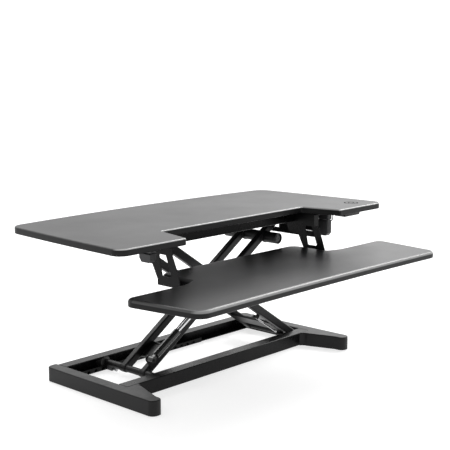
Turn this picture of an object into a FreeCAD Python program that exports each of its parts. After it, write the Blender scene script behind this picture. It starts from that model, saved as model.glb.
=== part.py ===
"""Standing desk converter: two boards on an X-shaped lift that rolls in a channel-rail base.

The frame has +Z up, +X along the deck's width and +Y from the user to the back. The origin lies on the
desk under the middle of the deck. Lengths are millimetres and angles are degrees.
"""
import FreeCAD, Part
import os
import re
import Sketcher

VECTOR = FreeCAD.Vector
TOUCH = 0.01
DOC = FreeCAD.newDocument("DeskConverter")

# Driving sizes. Names that end in _y or _x are places in the frame at rest.
DIMENSIONS = {
    # deck board
    "deck_width": 1024.0,
    "deck_rear_width": 966.0,
    "deck_depth": 471.7,
    "deck_thick": 17.3,
    "deck_front_y": -130.7,
    "deck_side_bow": 3.3,
    "deck_rear_bow": 23.5,
    "deck_front_radius": 27.0,
    "deck_rear_radius": 40.0,
    "deck_edge_round": 3.5,
    "notch_mouth": 603.8,
    "notch_floor": 548.4,
    "notch_depth": 115.0,
    "notch_radius": 6.0,
    # keyboard tray
    "tray_width": 1003.2,
    "tray_front_width": 941.0,
    "tray_depth": 217.0,
    "tray_front_y": -342.0,
    "tray_front_bow": 8.2,
    "tray_thick": 18.8,
    "tray_drop": 111.7,
    "tray_front_radius": 32.0,
    "tray_rear_radius": 24.0,
    "tray_top_round": 8.0,
    "tray_under_round": 3.0,
    "shoulder_width": 622.0,
    "shoulder_rise": 14.0,
    "shoulder_radius": 16.0,
    "tongue_inset": 9.2,
    "tongue_rear_y": 8.0,
    "tongue_radius": 30.0,
    # base
    "base_width": 790.0,
    "base_height": 40.6,
    "pad_thick": 2.4,
    "pad_long": 46.0,
    "pad_wide": 22.0,
    "foot_width": 36.5,
    "foot_wall": 4.0,
    "foot_edge_round": 3.0,
    "heel_taper": 3.0,
    "heel_overhang": 8.0,
    "heel_radius": 16.0,
    "heel_inner_radius": 6.0,
    "toe_y": -106.0,
    "toe_radius": 16.0,
    "ankle_y": -80.0,
    "ankle_radius": 30.0,
    "flare_y": 3.0,
    "flare_reach": 28.5,
    "flare_root": 40.5,
    "flare_bow": 3.0,
    # channel rails
    "front_rail_y": 20.65,
    "rail_spread": 278.0,
    "rail_flange": 34.2,
    "rail_wall": 2.5,
    "rail_bend": 3.0,
    "end_plate": 4.0,
    "upper_rail_height": 30.5,
    "upper_left_margin": 21.9,
    "upper_right_margin": 29.5,
    "left_member": 13.5,
    "right_member": 16.5,
    "member_wall": 2.0,
    # scissor arms
    "arm_length": 675.6,
    "lift_angle": 33.4,
    "hinge_inset": 13.0,
    "arm_tall": 23.0,
    "arm_wide": 19.0,
    "arm_wall": 2.0,
    "arm_corner": 4.0,
    "outer_front_y": 65.0,
    "inner_front_y": 115.0,
    "arm_skew": 6.65,
    "cross_radius": 9.5,
    "axle_radius": 5.0,
    "running_fit": 0.08,
    "side_gap": 1.0,
    "torque_radius": 16.0,
    "torque_wall": 2.5,
    "torque_setback": 107.1,
    "torque_drop": 8.9,
    "torque_inset": 2.0,
    "plug_thick": 6.0,
    "plug_recess": 4.0,
    "plug_head_thick": 2.6,
    "brace_thick": 3.0,
    "brace_long": 55.0,
    "brace_setback": 55.0,
    "pivot_radius": 5.0,
    "pivot_head_radius": 8.0,
    "pivot_head_thick": 5.0,
    "spacer_radius": 9.0,
    "face_gap": 0.3,
    # rollers
    "roller_width": 23.5,
    "roller_gap": 0.3,
    "axle_head_radius": 7.5,
    "axle_head_thick": 1.5,
    "roller_collar": 2.0,
    "hinge_collar": 3.0,
    "hub_clearance": 0.6,
    "roller_chamfer": 1.0,
    # gas spring, placed from the crossing of the arms along and across an arm
    "spring_foot_setback": 27.8,
    "spring_foot_across": 32.0,
    "spring_eye_along": 32.9,
    "spring_eye_across": 19.0,
    "cylinder_radius": 10.0,
    "cylinder_wall": 2.0,
    "cylinder_length": 94.0,
    "cylinder_start": 16.0,
    "cylinder_floor": 4.0,
    "gland_bore": 7.6,
    "gland_long": 8.0,
    "rod_radius": 5.2,
    "rod_inside_length": 68.0,
    "collar_long": 12.0,
    "eye_radius": 8.5,
    "eye_wide": 16.0,
    "eye_neck": 10.0,
    "stud_radius": 4.0,
    "lug_radius": 9.0,
    "lug_thick": 3.0,
    # lock
    "rack_thick": 3.0,
    "rack_tall": 13.0,
    "rack_pitch": 25.0,
    "rack_hole": 9.0,
    "rack_hole_tall": 7.2,
    "rack_left_x": -322.0,
    "rack_right_x": 150.0,
    "lock_pin_radius": 3.0,
    "lock_knob_thick": 3.0,
    "lock_pin_length": 34.0,
    "lock_pin_drop": 14.0,
    "lock_guide_wide": 12.0,
    "lock_guide_long": 20.0,
    "lock_guide_gap": 4.0,
    "lock_guide_floor": 0.8,
    "pull_rod_radius": 2.0,
    "pull_rod_drop": 17.0,
    "pull_rod_setback": 25.8,
    "pull_rod_length": 162.0,
    "pull_rod_y": 90.0,
    "guide_half": 5.0,
    "guide_thick": 3.0,
    "guide_root_half": 6.0,
    # tray carrier
    "bracket_inset": 12.3,
    "sheet_thick": 3.0,
    "bracket_front_y": -66.0,
    "bracket_knee_y": -79.5,
    "bracket_knee_rise": 27.0,
    "bracket_heel_y": -91.0,
    "bracket_leg_y": 4.0,
    "bracket_toe_y": -14.6,
    "bracket_arm_drop": 65.0,
    "bracket_arm_y": 50.0,
    "bracket_arm_slant": 13.0,
    "bracket_bend": 6.0,
    "window_top_drop": 37.6,
    "window_rise": 3.0,
    "window_rear_rim": 23.0,
    "window_front_rim": 21.5,
    "window_heel_rim": 26.5,
    "window_toe_rim": 16.0,
    "window_radius": 4.0,
    "flange_wide": 26.0,
    "flange_rear_y": 17.0,
    "front_flange": 18.0,
    "front_flange_tall": 30.0,
    "under_flange": 2.0,
    "under_reach": 50.0,
    # side plate of the release linkage, outside the right bracket
    "link_x": 317.0,
    "link_thick": 2.5,
    "link_drop": 74.0,
    "link_front_y": -40.0,
    "link_rear_y": 102.0,
    "link_tail_y": 150.0,
    "link_tail_tall": 14.0,
    "link_flange": 14.0,
    "link_slot_front_y": -22.0,
    "link_slot_rear_y": 6.0,
    "link_slot_drop": 54.0,
    "link_slot_tall": 3.4,
    "link_corner": 8.0,
    # release levers
    "lever_inset": 30.0,
    "lever_wide": 20.0,
    "lever_front_y": -63.0,
    "lever_deep": 42.0,
    "left_lever_tall": 46.5,
    "right_lever_tall": 70.0,
    "lever_rise_gap": 2.5,
    "lever_corner": 4.0,
    "lever_edge_round": 2.0,
    "lever_eye_radius": 5.0,
    "lever_pin_setback": 12.0,
    "housing_corner": 3.0,
    "housing_tall": 22.0,
    "housing_wall": 3.0,
    "lever_gap": 0.6,
    "lever_pin_radius": 2.0,
    # small things on the deck
    "charger_inset": 78.0,
    "charger_y": -72.0,
    "charger_radius": 21.0,
    "charger_thick": 4.0,
    "charger_rim": 0.8,
    "module_inset": 28.1,
    "module_wide": 70.0,
    "module_deep": 40.0,
    "module_tall": 8.2,
    "module_round": 6.0,
    "hook_y": -45.0,
    "hook_radius": 8.0,
    "hook_drop": 31.0,
    "wire_radius": 1.5,
    # screws
    "screw_head_radius": 4.5,
    "screw_head_thick": 2.6,
    "screw_radius": 2.0,
    "screw_length": 11.0,
    "flat_head_thick": 1.5,
    "foot_screw_radius": 3.0,
    "foot_screw_head": 5.0,
    "foot_screw_head_radius": 5.1,
    "screw_edge": 14.0,
    "screw_inset": 10.0,
    "drill_fit": 0.05,
}

# Places that follow from the driving sizes.
WORKED = {
    "base_low": "pad_thick",
    "low_pivot_z": "(pad_thick + base_height) / 2",
    "rise": "arm_length * sin(lift_angle)",
    "reach": "arm_length * cos(lift_angle)",
    "top_pivot_z": "low_pivot_z + rise",
    "deck_under": "top_pivot_z + upper_rail_height / 2",
    "deck_top": "deck_under + deck_thick",
    "upper_rail_low": "deck_under - upper_rail_height",
    "foot_inner_x": "base_width / 2 - foot_width",
    "hinge_x": "foot_inner_x - hinge_inset",
    "cross_x": "hinge_x - reach / 2",
    "cross_z": "low_pivot_z + rise / 2",
    "middle_y": "front_rail_y + rail_spread / 2",
    "rear_rail_y": "front_rail_y + rail_spread",
    "front_web_y": "front_rail_y + rail_wall",
    "rear_web_y": "rear_rail_y - rail_wall",
    "front_lip_y": "front_rail_y + rail_flange",
    "rear_lip_y": "rear_rail_y - rail_flange",
    "heel_y": "rear_rail_y + heel_overhang",
    "upper_left_x": "hinge_x - arm_length - upper_left_margin",
    "upper_right_x": "hinge_x + upper_right_margin",
    "outer_rear_y": "outer_front_y + 2 * (middle_y - outer_front_y) - 2 * arm_skew",
    "inner_rear_y": "inner_front_y + 2 * (middle_y - inner_front_y) - 2 * arm_skew",
    "bar_front_y": "front_lip_y + side_gap",
    "bar_rear_y": "rear_lip_y - rack_thick - side_gap",
    "axle_front_y": "front_web_y + axle_head_thick",
    "axle_rear_y": "rear_web_y - axle_head_thick",
    "roller_front_y": "axle_front_y + axle_head_thick + roller_gap",
    "roller_rear_y": "axle_rear_y - axle_head_thick - roller_gap",
    "low_roller_radius": "(base_height - pad_thick) / 2 - rail_wall - roller_gap",
    "top_roller_radius": "upper_rail_height / 2 - rail_wall - roller_gap",
    "tray_top": "deck_top - tray_drop",
    "tray_under": "tray_top - tray_thick",
    "tray_rear_y": "tray_front_y + tray_depth",
    "pull_rod_low": "arm_length / 2 - pull_rod_setback",
    "pull_rod_high": "pull_rod_low - pull_rod_length",
    "bracket_x": "notch_floor / 2 + bracket_inset",
    "tongue_half": "notch_floor / 2 - tongue_inset",
    "lever_offset": "upper_right_x - lever_inset",
    "lever_rear_y": "lever_front_y + lever_deep",
    "lever_pin_y": "lever_rear_y - lever_pin_setback",
    "lever_pin_z": "deck_under - housing_tall / 2",
    "charger_x": "deck_width / 2 - charger_inset",
    "module_left_x": "notch_mouth / 2 + module_inset",
    "hook_x": "upper_right_x",
    "spring_y": "(outer_front_y + inner_front_y) / 2",
    "spring_foot_along": "arm_length / 2 - spring_foot_setback",
    "spring_foot_x": "cross_x - spring_foot_along * cos(lift_angle) - spring_foot_across * sin(lift_angle)",
    "spring_foot_z": "cross_z - spring_foot_along * sin(lift_angle) + spring_foot_across * cos(lift_angle)",
    "spring_eye_x": "cross_x - spring_eye_along * cos(lift_angle) - spring_eye_across * sin(lift_angle)",
    "spring_eye_z": "cross_z + spring_eye_along * sin(lift_angle) - spring_eye_across * cos(lift_angle)",
    "spring_run": "spring_eye_x - spring_foot_x",
    "spring_climb": "spring_eye_z - spring_foot_z",
    "spring_length": "sqrt(spring_run ^ 2 + spring_climb ^ 2)",
}
SUB_PARTS = []


def fill_sheet(name, cells):
    """Write alias and content pairs into a new spreadsheet."""
    sheet = DOC.addObject("Spreadsheet::Sheet", name)
    for row, (alias, content) in enumerate(cells.items(), start=1):
        sheet.set(f"A{row}", alias)
        sheet.set(f"B{row}", content)
        sheet.setAlias(f"B{row}", alias)
    return sheet


def formula(text):
    """Turn a formula in plain size names into one that names the sheets' cells."""
    def qualified(match):
        word = match.group(0)
        if word in DIMENSIONS:
            return "Dims." + word
        if word in WORKED:
            return "Worked." + word
        return word
    return re.sub(r"[a-z][a-z_]*", qualified, text)


SHEET = fill_sheet("Dims", {alias: str(size) for alias, size in DIMENSIONS.items()})
fill_sheet("Worked", {alias: "=" + formula(text) for alias, text in WORKED.items()})
DOC.recompute()


def number(text):
    """Value of a formula now, as a plain number."""
    result = SHEET.evalExpression(formula(text))
    return float(getattr(result, "Value", result))


def bind(thing, path, text):
    """Tie one property of a document object to a formula."""
    thing.setExpression(path, formula(text))


# ---------------------------------------------------------------- sketch-based pieces

def new_body(label):
    """Empty body that will become the sub-part of that name."""
    body = DOC.addObject("PartDesign::Body", "Body")
    body.Label = label
    return body


def new_sketch(body, plane, offset="0"):
    """Sketch on one of the body's origin planes, moved along the plane's positive axis."""
    sketch = body.newObject("Sketcher::SketchObject", "Sketch")
    origin_plane = next(item for item in body.Origin.OriginFeatures if item.Role == plane)
    sketch.AttachmentSupport = [(origin_plane, "")]
    sketch.MapMode = "FlatFace"
    sign = "-" if plane == "XZ_Plane" else ""
    bind(sketch, "AttachmentOffset.Base.z", f"{sign}({offset})")
    return sketch


def pin_point(sketch, geometry, point, across, up):
    """Fix one point of a sketch element at a place given by two formulas."""
    for kind, text in (("DistanceX", across), ("DistanceY", up)):
        index = sketch.addConstraint(Sketcher.Constraint(kind, -1, 1, geometry, point, number(text)))
        bind(sketch, f"Constraints[{index}]", text)


def draw_polygon(sketch, corners, bows=None):
    """Closed outline through the corners, each a pair of formulas.

    A bow is given by the number of its edge and swells that edge outwards, or inwards where it is negative.
    """
    first = sketch.GeometryCount
    bows = bows or {}
    places = [VECTOR(number(across), number(up), 0) for across, up in corners]
    count = len(places)
    turns = [places[step - 1].cross(places[step]).z for step in range(count)]
    outwards = 1 if sum(turns) > 0 else -1
    tails = []
    for step in range(count):
        tail, head = places[step], places[(step + 1) % count]
        edge = Part.LineSegment(tail, head)
        if step in bows:
            chord = head - tail
            swell = outwards * number(bows[step]) / chord.Length
            edge = Part.Arc(tail, (tail + head) / 2 + VECTOR(chord.y, -chord.x, 0) * swell, head)
        index = sketch.addGeometry(edge, False)
        tails.append(1 if sketch.getPoint(index, 1).distanceToPoint(tail) < TOUCH else 2)
    for step in range(count):
        follower = (step + 1) % count
        sketch.addConstraint(Sketcher.Constraint("Coincident", first + step, 3 - tails[step],
                                                 first + follower, tails[follower]))
    for step, (across, up) in enumerate(corners):
        pin_point(sketch, first + step, tails[step], across, up)
    for step, bow in bows.items():
        (across, up), (far_across, far_up) = corners[step], corners[(step + 1) % count]
        chord = f"((({far_across}) - ({across})) ^ 2 + (({far_up}) - ({up})) ^ 2)"
        radius = f"({chord} / 4 + ({bow}) ^ 2) / (2 * abs({bow}))"
        index = sketch.addConstraint(Sketcher.Constraint("Radius", first + step, number(radius)))
        bind(sketch, f"Constraints[{index}]", radius)


def draw_rectangle(sketch, left, right, low, high):
    """Closed rectangle between four formulas."""
    draw_polygon(sketch, [(left, low), (right, low), (right, high), (left, high)])


def draw_circle(sketch, across, up, radius):
    """Circle at a place given by two formulas."""
    centre = VECTOR(number(across), number(up), 0)
    index = sketch.addGeometry(Part.Circle(centre, VECTOR(0, 0, 1), number(radius)), False)
    pin_point(sketch, index, 3, across, up)
    place = sketch.addConstraint(Sketcher.Constraint("Radius", index, number(radius)))
    bind(sketch, f"Constraints[{place}]", radius)


def settle(body, feature):
    """Recompute and stop if the new feature failed."""
    DOC.recompute()
    if "Invalid" in feature.State or "Error" in feature.State or feature.Shape.isNull():
        raise ValueError(f"{feature.Name} of {body.Label} failed")
    return feature


def pad(body, sketch, length):
    """Extrude a sketch by half the length to each side of its plane."""
    feature = body.newObject("PartDesign::Pad", "Pad")
    feature.Profile = sketch
    feature.SideType = "Symmetric"
    bind(feature, "Length", length)
    return settle(body, feature)


def pocket(body, sketch, length):
    """Cut a sketch by half the length to each side of its plane, and make sure that it cut."""
    before = body.Shape.Volume
    feature = body.newObject("PartDesign::Pocket", "Pocket")
    feature.Profile = sketch
    feature.SideType = "Symmetric"
    bind(feature, "Length", length)
    settle(body, feature)
    if body.Shape.Volume >= before:
        raise ValueError(f"a pocket of {body.Label} cut nothing")
    return feature


def round_edges(body, radius, chosen):
    """Fillet the edges of the body's last feature that the test chooses."""
    tip = body.Tip
    names = [f"Edge{place}" for place, edge in enumerate(tip.Shape.Edges, start=1) if chosen(edge)]
    feature = body.newObject("PartDesign::Fillet", "Fillet")
    feature.Base = (tip, names)
    bind(feature, "Radius", radius)
    return settle(body, feature)


AXES = {"x": (1, 2), "y": (0, 2), "z": (0, 1)}
SHORTEST_EDGE = 0.1


def along(axis, places):
    """Edge test: straight along the axis and through one of the places across it."""
    first, second = AXES[axis]
    wanted = [(number(across), number(up)) for across, up in places]

    def chosen(edge):
        low, high = edge.Vertexes[0].Point, edge.Vertexes[-1].Point
        for across, up in wanted:
            offsets = [low[first] - across, low[second] - up, high[first] - across, high[second] - up]
            if max(abs(offset) for offset in offsets) < TOUCH:
                return low.distanceToPoint(high) > SHORTEST_EDGE
        return False
    return chosen


def on_level(axis, text, inside=None):
    """Edge test: the whole edge lies at one value of the axis, and its centre passes the inner test."""
    level = number(text)
    index = "xyz".index(axis)

    def chosen(edge):
        box = edge.BoundBox
        low = (box.XMin, box.YMin, box.ZMin)[index]
        high = (box.XMax, box.YMax, box.ZMax)[index]
        if abs(low - level) > TOUCH or abs(high - level) > TOUCH:
            return False
        return inside is None or inside(edge.CenterOfMass)
    return chosen


def turned(label, profile):
    """Body turned about its own Y axis from corners given as radius and Y formulas."""
    body = new_body(label)
    sketch = new_sketch(body, "XY_Plane")
    draw_polygon(sketch, profile)
    feature = body.newObject("PartDesign::Revolution", "Revolution")
    feature.Profile = sketch
    feature.ReferenceAxis = (sketch, ["V_Axis"])
    feature.Angle = 360.0
    DOC.recompute()
    return body


def turned_tube(label, outer, inner, front, rear):
    """Plain tube along Y between two places."""
    return turned(label, [(inner, front), (outer, front), (outer, rear), (inner, rear)])


SOCKET_DEPTH = 0.6


def hex_socket(body, across, up, mouth, depth, radius):
    """Cut a six-sided driver socket into a face that looks along Y."""
    sketch = new_sketch(body, "XZ_Plane", mouth)
    corners = []
    for step in range(6):
        turn = 60 * step
        corners.append((f"{across} + {radius} * cos({turn})", f"{up} + {radius} * sin({turn})"))
    draw_polygon(sketch, corners)
    pocket(body, sketch, f"2 * ({depth})")


# ---------------------------------------------------------------- primitive-based pieces

TURNS = {
    "+z": FreeCAD.Rotation(),
    "-z": FreeCAD.Rotation(VECTOR(1, 0, 0), 180),
    "+x": FreeCAD.Rotation(VECTOR(0, 1, 0), 90),
    "-x": FreeCAD.Rotation(VECTOR(0, 1, 0), -90),
    "+y": FreeCAD.Rotation(VECTOR(1, 0, 0), -90),
    "-y": FreeCAD.Rotation(VECTOR(1, 0, 0), 90),
}


def set_place(thing, place, turn="+z"):
    """Bind an object's place to three formulas and turn its own Z axis."""
    thing.Placement = FreeCAD.Placement(VECTOR(), TURNS[turn])
    for axis, text in zip("xyz", place):
        bind(thing, f"Placement.Base.{axis}", text)


def new_cylinder(place, turn, radius, length):
    """Cylinder that starts at a place and runs along its turned Z axis."""
    thing = DOC.addObject("Part::Cylinder", "Cylinder")
    bind(thing, "Radius", radius)
    bind(thing, "Height", length)
    set_place(thing, place, turn)
    return thing


def new_box(left, right, front, rear, low, high):
    """Box between six formulas."""
    thing = DOC.addObject("Part::Box", "Box")
    bind(thing, "Length", f"({right}) - ({left})")
    bind(thing, "Width", f"({rear}) - ({front})")
    bind(thing, "Height", f"({high}) - ({low})")
    set_place(thing, (left, front, low))
    return thing


def fused(things):
    """One solid from several that touch or overlap."""
    result = DOC.addObject("Part::MultiFuse", "Fuse")
    result.Shapes = things
    result.Refine = True
    return result


def cut_by(base, tools):
    """The base without the tools."""
    result = DOC.addObject("Part::Cut", "Cut")
    result.Base = base
    result.Tool = fused(tools) if len(tools) > 1 else tools[0]
    return result


def screw(place, turn, head_radius, head_thick, radius, length):
    """Socket screw with its head's outer face at the place, pointing along its turned Z axis."""
    origin = ("0", "0", "0")
    head = new_cylinder(origin, "+z", head_radius, head_thick)
    shank = new_cylinder(origin, "+z", radius, f"{head_thick} + {length}")
    socket = DOC.addObject("Part::Prism", "Prism")
    socket.Polygon = 6
    bind(socket, "Circumradius", f"{head_radius} / 2")
    bind(socket, "Height", f"{head_thick} * {SOCKET_DEPTH}")
    result = cut_by(fused([head, shank]), [socket])
    set_place(result, place, turn)
    return result


def grouped(label, things):
    """Separate solids of one kind, kept together as one sub-part."""
    result = DOC.addObject("Part::Compound", "Group")
    result.Links = things
    return finished(result, label)


# ---------------------------------------------------------------- placing in the lift

def finished(thing, label, frame="fixed", side="0"):
    """Label a sub-part, set it into its frame and keep it for writing.

    The outer and inner frames lie on an arm: X runs down to the lower hinge or up to the upper hinge
    from the crossing, and Z stands square to the arm.
    """
    thing.Label = label
    if frame in ("outer", "inner"):
        sign = 1 if frame == "outer" else -1
        thing.Placement = FreeCAD.Placement(VECTOR(), FreeCAD.Rotation(VECTOR(0, sign, 0), 1))
        bind(thing, "Placement.Base.x", "cross_x")
        bind(thing, "Placement.Base.y", side)
        bind(thing, "Placement.Base.z", "cross_z")
        bind(thing, "Placement.Rotation.Angle", "lift_angle * 1 deg")
    SUB_PARTS.append(thing)
    return thing


def set_at(thing, label, place, turn="+z"):
    """Label a sub-part, set it at a place in the part's own frame and keep it for writing."""
    thing.Label = label
    set_place(thing, place, turn)
    SUB_PARTS.append(thing)
    return thing


# ---------------------------------------------------------------- rails

def channel_rail(label, web, lip, left, right, low, high, holes, left_plate, right_plate):
    """Channel rail along X with its web at one Y and its open side at another, closed at its ends."""
    body = new_body(label)
    sketch = new_sketch(body, "YZ_Plane", f"({left} + {right}) / 2")
    draw_rectangle(sketch, web, lip, low, high)
    pad(body, sketch, f"({right}) - ({left})")
    round_edges(body, "rail_bend", along("x", [(web, low), (web, high)]))
    inner = f"{web} + rail_wall * ({lip} - {web}) / rail_flange"
    beyond = f"{lip} + rail_wall * ({lip} - {web}) / rail_flange"
    left_end = f"({left}) + {left_plate}"
    right_end = f"({right}) - {right_plate}"
    hollow = new_sketch(body, "YZ_Plane", f"({left_end} + {right_end}) / 2")
    draw_rectangle(hollow, inner, beyond, f"{low} + rail_wall", f"{high} - rail_wall")
    pocket(body, hollow, f"({right_end}) - ({left_end})")
    bores = new_sketch(body, "XZ_Plane", web)
    for across, up, radius in holes:
        draw_circle(bores, across, up, radius)
    pocket(body, bores, "3 * rail_wall")
    return body


def make_base_rails():
    """Front and rear rail of the base, with holes for the lower hinge axle and the foot screws."""
    left, right = "-foot_inner_x", "foot_inner_x"
    axle_hole = [("hinge_x", "low_pivot_z", "axle_radius + drill_fit")]
    for label, web, lip in (("base_front_rail", "front_rail_y", "front_lip_y"),
                            ("base_rear_rail", "rear_rail_y", "rear_lip_y")):
        rail = channel_rail(label, web, lip, left, right, "base_low", "base_height", axle_hole,
                            "end_plate", "end_plate")
        ends = new_sketch(rail, "YZ_Plane")
        draw_circle(ends, f"({web} + {lip}) / 2", "low_pivot_z", "foot_screw_radius + drill_fit")
        pocket(rail, ends, "3 * foot_inner_x")
        finished(rail, label)


RAIL_SCREWS = [f"upper_left_x + {share} * (upper_right_x - upper_left_x)" for share in (0.34, 0.595, 0.85)]


def make_upper_rails():
    """Front and rear rail under the deck, with holes for the upper hinge axle and the deck screws."""
    axle_hole = [("hinge_x", "top_pivot_z", "axle_radius + drill_fit")]
    for label, web, lip in (("upper_front_rail", "front_rail_y", "front_lip_y"),
                            ("upper_rear_rail", "rear_rail_y", "rear_lip_y")):
        rail = channel_rail(label, web, lip, "upper_left_x", "upper_right_x", "upper_rail_low",
                            "deck_under", axle_hole, "rail_wall", "rail_wall")
        drills = new_sketch(rail, "XY_Plane", "deck_under")
        for place in RAIL_SCREWS:
            draw_circle(drills, place, f"({web} + {lip}) / 2", "screw_radius + drill_fit")
        pocket(rail, drills, "3 * rail_wall")
        finished(rail, label)


def make_feet():
    """Side beams with toes that flare towards the front rail, hollow from below over the screws."""
    for label, side in (("left_foot", "-1"), ("right_foot", "1")):
        body = new_body(label)
        outline = [
            (f"{side} * (base_width / 2 - heel_taper)", "heel_y"),
            (f"{side} * base_width / 2", "toe_y"),
            (f"{side} * foot_inner_x", "toe_y"),
            (f"{side} * foot_inner_x", "ankle_y"),
            (f"{side} * (foot_inner_x - flare_reach)", "flare_y"),
            (f"{side} * (foot_inner_x - flare_root)", "front_rail_y"),
            (f"{side} * foot_inner_x", "front_rail_y"),
            (f"{side} * foot_inner_x", "heel_y"),
        ]
        sketch = new_sketch(body, "XY_Plane", "(pad_thick + base_height) / 2")
        draw_polygon(sketch, outline, {4: "-flare_bow"})
        pad(body, sketch, "base_height - pad_thick")
        round_edges(body, "toe_radius", along("z", outline[1:3]))
        round_edges(body, "ankle_radius", along("z", outline[3:4]))
        round_edges(body, "heel_radius", along("z", outline[:1]))
        round_edges(body, "heel_inner_radius", along("z", outline[7:]))
        round_edges(body, "foot_edge_round", on_level("z", "base_height", open_foot_edge))
        hollow = new_sketch(body, "XY_Plane", "pad_thick")
        left = f"{side} * (foot_inner_x + foot_wall)"
        right = f"{side} * (base_width / 2 - heel_taper - foot_wall)"
        draw_rectangle(hollow, left, right, "front_rail_y + foot_wall", "front_lip_y")
        draw_rectangle(hollow, left, right, "middle_y - pad_long", "middle_y + pad_long")
        draw_rectangle(hollow, left, right, "rear_lip_y + foot_wall", "rear_rail_y - foot_wall")
        pocket(body, hollow, "2 * (base_height - pad_thick - foot_wall)")
        drills = new_sketch(body, "YZ_Plane", f"{side} * foot_inner_x")
        for place in ("(front_rail_y + front_lip_y) / 2", "(rear_rail_y + rear_lip_y) / 2"):
            draw_circle(drills, place, "low_pivot_z", "foot_screw_radius + drill_fit")
        pocket(body, drills, "2 * (foot_wall + drill_fit)")
        finished(body, label)


def open_foot_edge(centre):
    """Top edges of a foot that no rail stands against."""
    rail_y = number("front_rail_y")
    beside_rail = abs(abs(centre.x) - number("foot_inner_x")) < 1 and centre.y > rail_y
    return not beside_rail and abs(centre.y - rail_y) > 1


def make_base_details():
    """Rubber feet, foot screws, lock rack and lower hinge axle."""
    pads = []
    for side in ("-1", "1"):
        middle = f"{side} * (base_width - foot_width) / 2"
        for front in ("toe_y + toe_radius", "middle_y + pad_long + foot_wall"):
            pads.append(new_box(f"{middle} - pad_wide / 2", f"{middle} + pad_wide / 2", front,
                                f"{front} + pad_long", "0", "pad_thick"))
    grouped("rubber_feet", pads)
    screws = []
    for side, turn in (("-1", "+x"), ("1", "-x")):
        start = f"{side} * (foot_inner_x + foot_wall + foot_screw_head)"
        for place in ("(front_rail_y + front_lip_y) / 2", "(rear_rail_y + rear_lip_y) / 2"):
            screws.append(screw((start, place, "low_pivot_z"), turn, "foot_screw_head_radius",
                                "foot_screw_head", "foot_screw_radius", "foot_wall + end_plate + 1"))
    grouped("foot_screws", screws)

    rack = new_body("lock_rack")
    sheet = new_sketch(rack, "XZ_Plane", "rear_lip_y - rack_thick / 2")
    draw_rectangle(sheet, "rack_left_x", "rack_right_x", "base_low", "base_low + rack_tall")
    pad(rack, sheet, "rack_thick")
    holes = new_sketch(rack, "XZ_Plane", "rear_lip_y - rack_thick / 2")
    middle = "low_pivot_z - lock_pin_drop"
    count = int(number("(rack_right_x - rack_left_x) / rack_pitch"))
    for step in range(count):
        left = f"rack_left_x + (rack_pitch - rack_hole) / 2 + {step} * rack_pitch"
        draw_rectangle(holes, left, f"{left} + rack_hole", f"{middle} - rack_hole_tall / 2",
                       f"{middle} + rack_hole_tall / 2")
    pocket(rack, holes, "3 * rack_thick")
    finished(rack, "lock_rack")
    set_at(hinge_axle("lower_hinge_axle"), "lower_hinge_axle", ("hinge_x", "0", "low_pivot_z"))


def hinge_axle(label):
    """Axle of a fixed hinge: through both rails, with a collar inside each web."""
    return turned(label, [
        ("0", "front_rail_y"), ("axle_radius", "front_rail_y"), ("axle_radius", "front_web_y"),
        ("axle_head_radius", "front_web_y"), ("axle_head_radius", "front_web_y + hinge_collar"),
        ("axle_radius", "front_web_y + hinge_collar"), ("axle_radius", "rear_web_y - hinge_collar"),
        ("axle_head_radius", "rear_web_y - hinge_collar"), ("axle_head_radius", "rear_web_y"),
        ("axle_radius", "rear_web_y"), ("axle_radius", "rear_rail_y"), ("0", "rear_rail_y")])


def roller_axle(label):
    """Axle that carries two rollers, with a head outside and a collar inside each of them."""
    inner_front = "roller_front_y + roller_width + roller_gap"
    inner_rear = "roller_rear_y - roller_width - roller_gap"
    return turned(label, [
        ("0", "axle_front_y"), ("axle_head_radius", "axle_front_y"),
        ("axle_head_radius", "axle_front_y + axle_head_thick"),
        ("axle_radius", "axle_front_y + axle_head_thick"), ("axle_radius", inner_front),
        ("axle_head_radius", inner_front), ("axle_head_radius", f"{inner_front} + roller_collar"),
        ("axle_radius", f"{inner_front} + roller_collar"), ("axle_radius", f"{inner_rear} - roller_collar"),
        ("axle_head_radius", f"{inner_rear} - roller_collar"), ("axle_head_radius", inner_rear),
        ("axle_radius", inner_rear), ("axle_radius", "axle_rear_y - axle_head_thick"),
        ("axle_head_radius", "axle_rear_y - axle_head_thick"), ("axle_head_radius", "axle_rear_y"),
        ("0", "axle_rear_y")])


# ---------------------------------------------------------------- scissor arms

def arm_tube(label, frame, side, bores):
    """Rounded box tube of one arm, closed round at both ends, with bores across it."""
    body = new_body(label)
    for step in (pad, pocket):
        trim = "0" if step is pad else "arm_wall"
        depth = f"arm_wide - 2 * {trim}"
        radius = f"arm_tall / 2 - {trim}"
        strip = new_sketch(body, "XZ_Plane")
        draw_rectangle(strip, ROLLER_END, HINGE_END, f"-({radius})", radius)
        step(body, strip, depth)
        for end in (ROLLER_END, HINGE_END):
            cap = new_sketch(body, "XZ_Plane")
            draw_circle(cap, end, "0", radius)
            step(body, cap, depth)
        if step is pad:
            round_edges(body, "arm_corner", on_level("y", "arm_wide / 2"))
            round_edges(body, "arm_corner", on_level("y", "-arm_wide / 2"))
    holes = new_sketch(body, "XZ_Plane")
    for across, up, radius in bores:
        draw_circle(holes, across, up, radius)
    pocket(body, holes, "2 * arm_wide")
    return finished(body, label, frame, side)


OUTER = "outer"
INNER = "inner"
HINGE_END = "arm_length / 2"
ROLLER_END = "-arm_length / 2"
TORQUE_ALONG = "arm_length / 2 - torque_setback"


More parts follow.
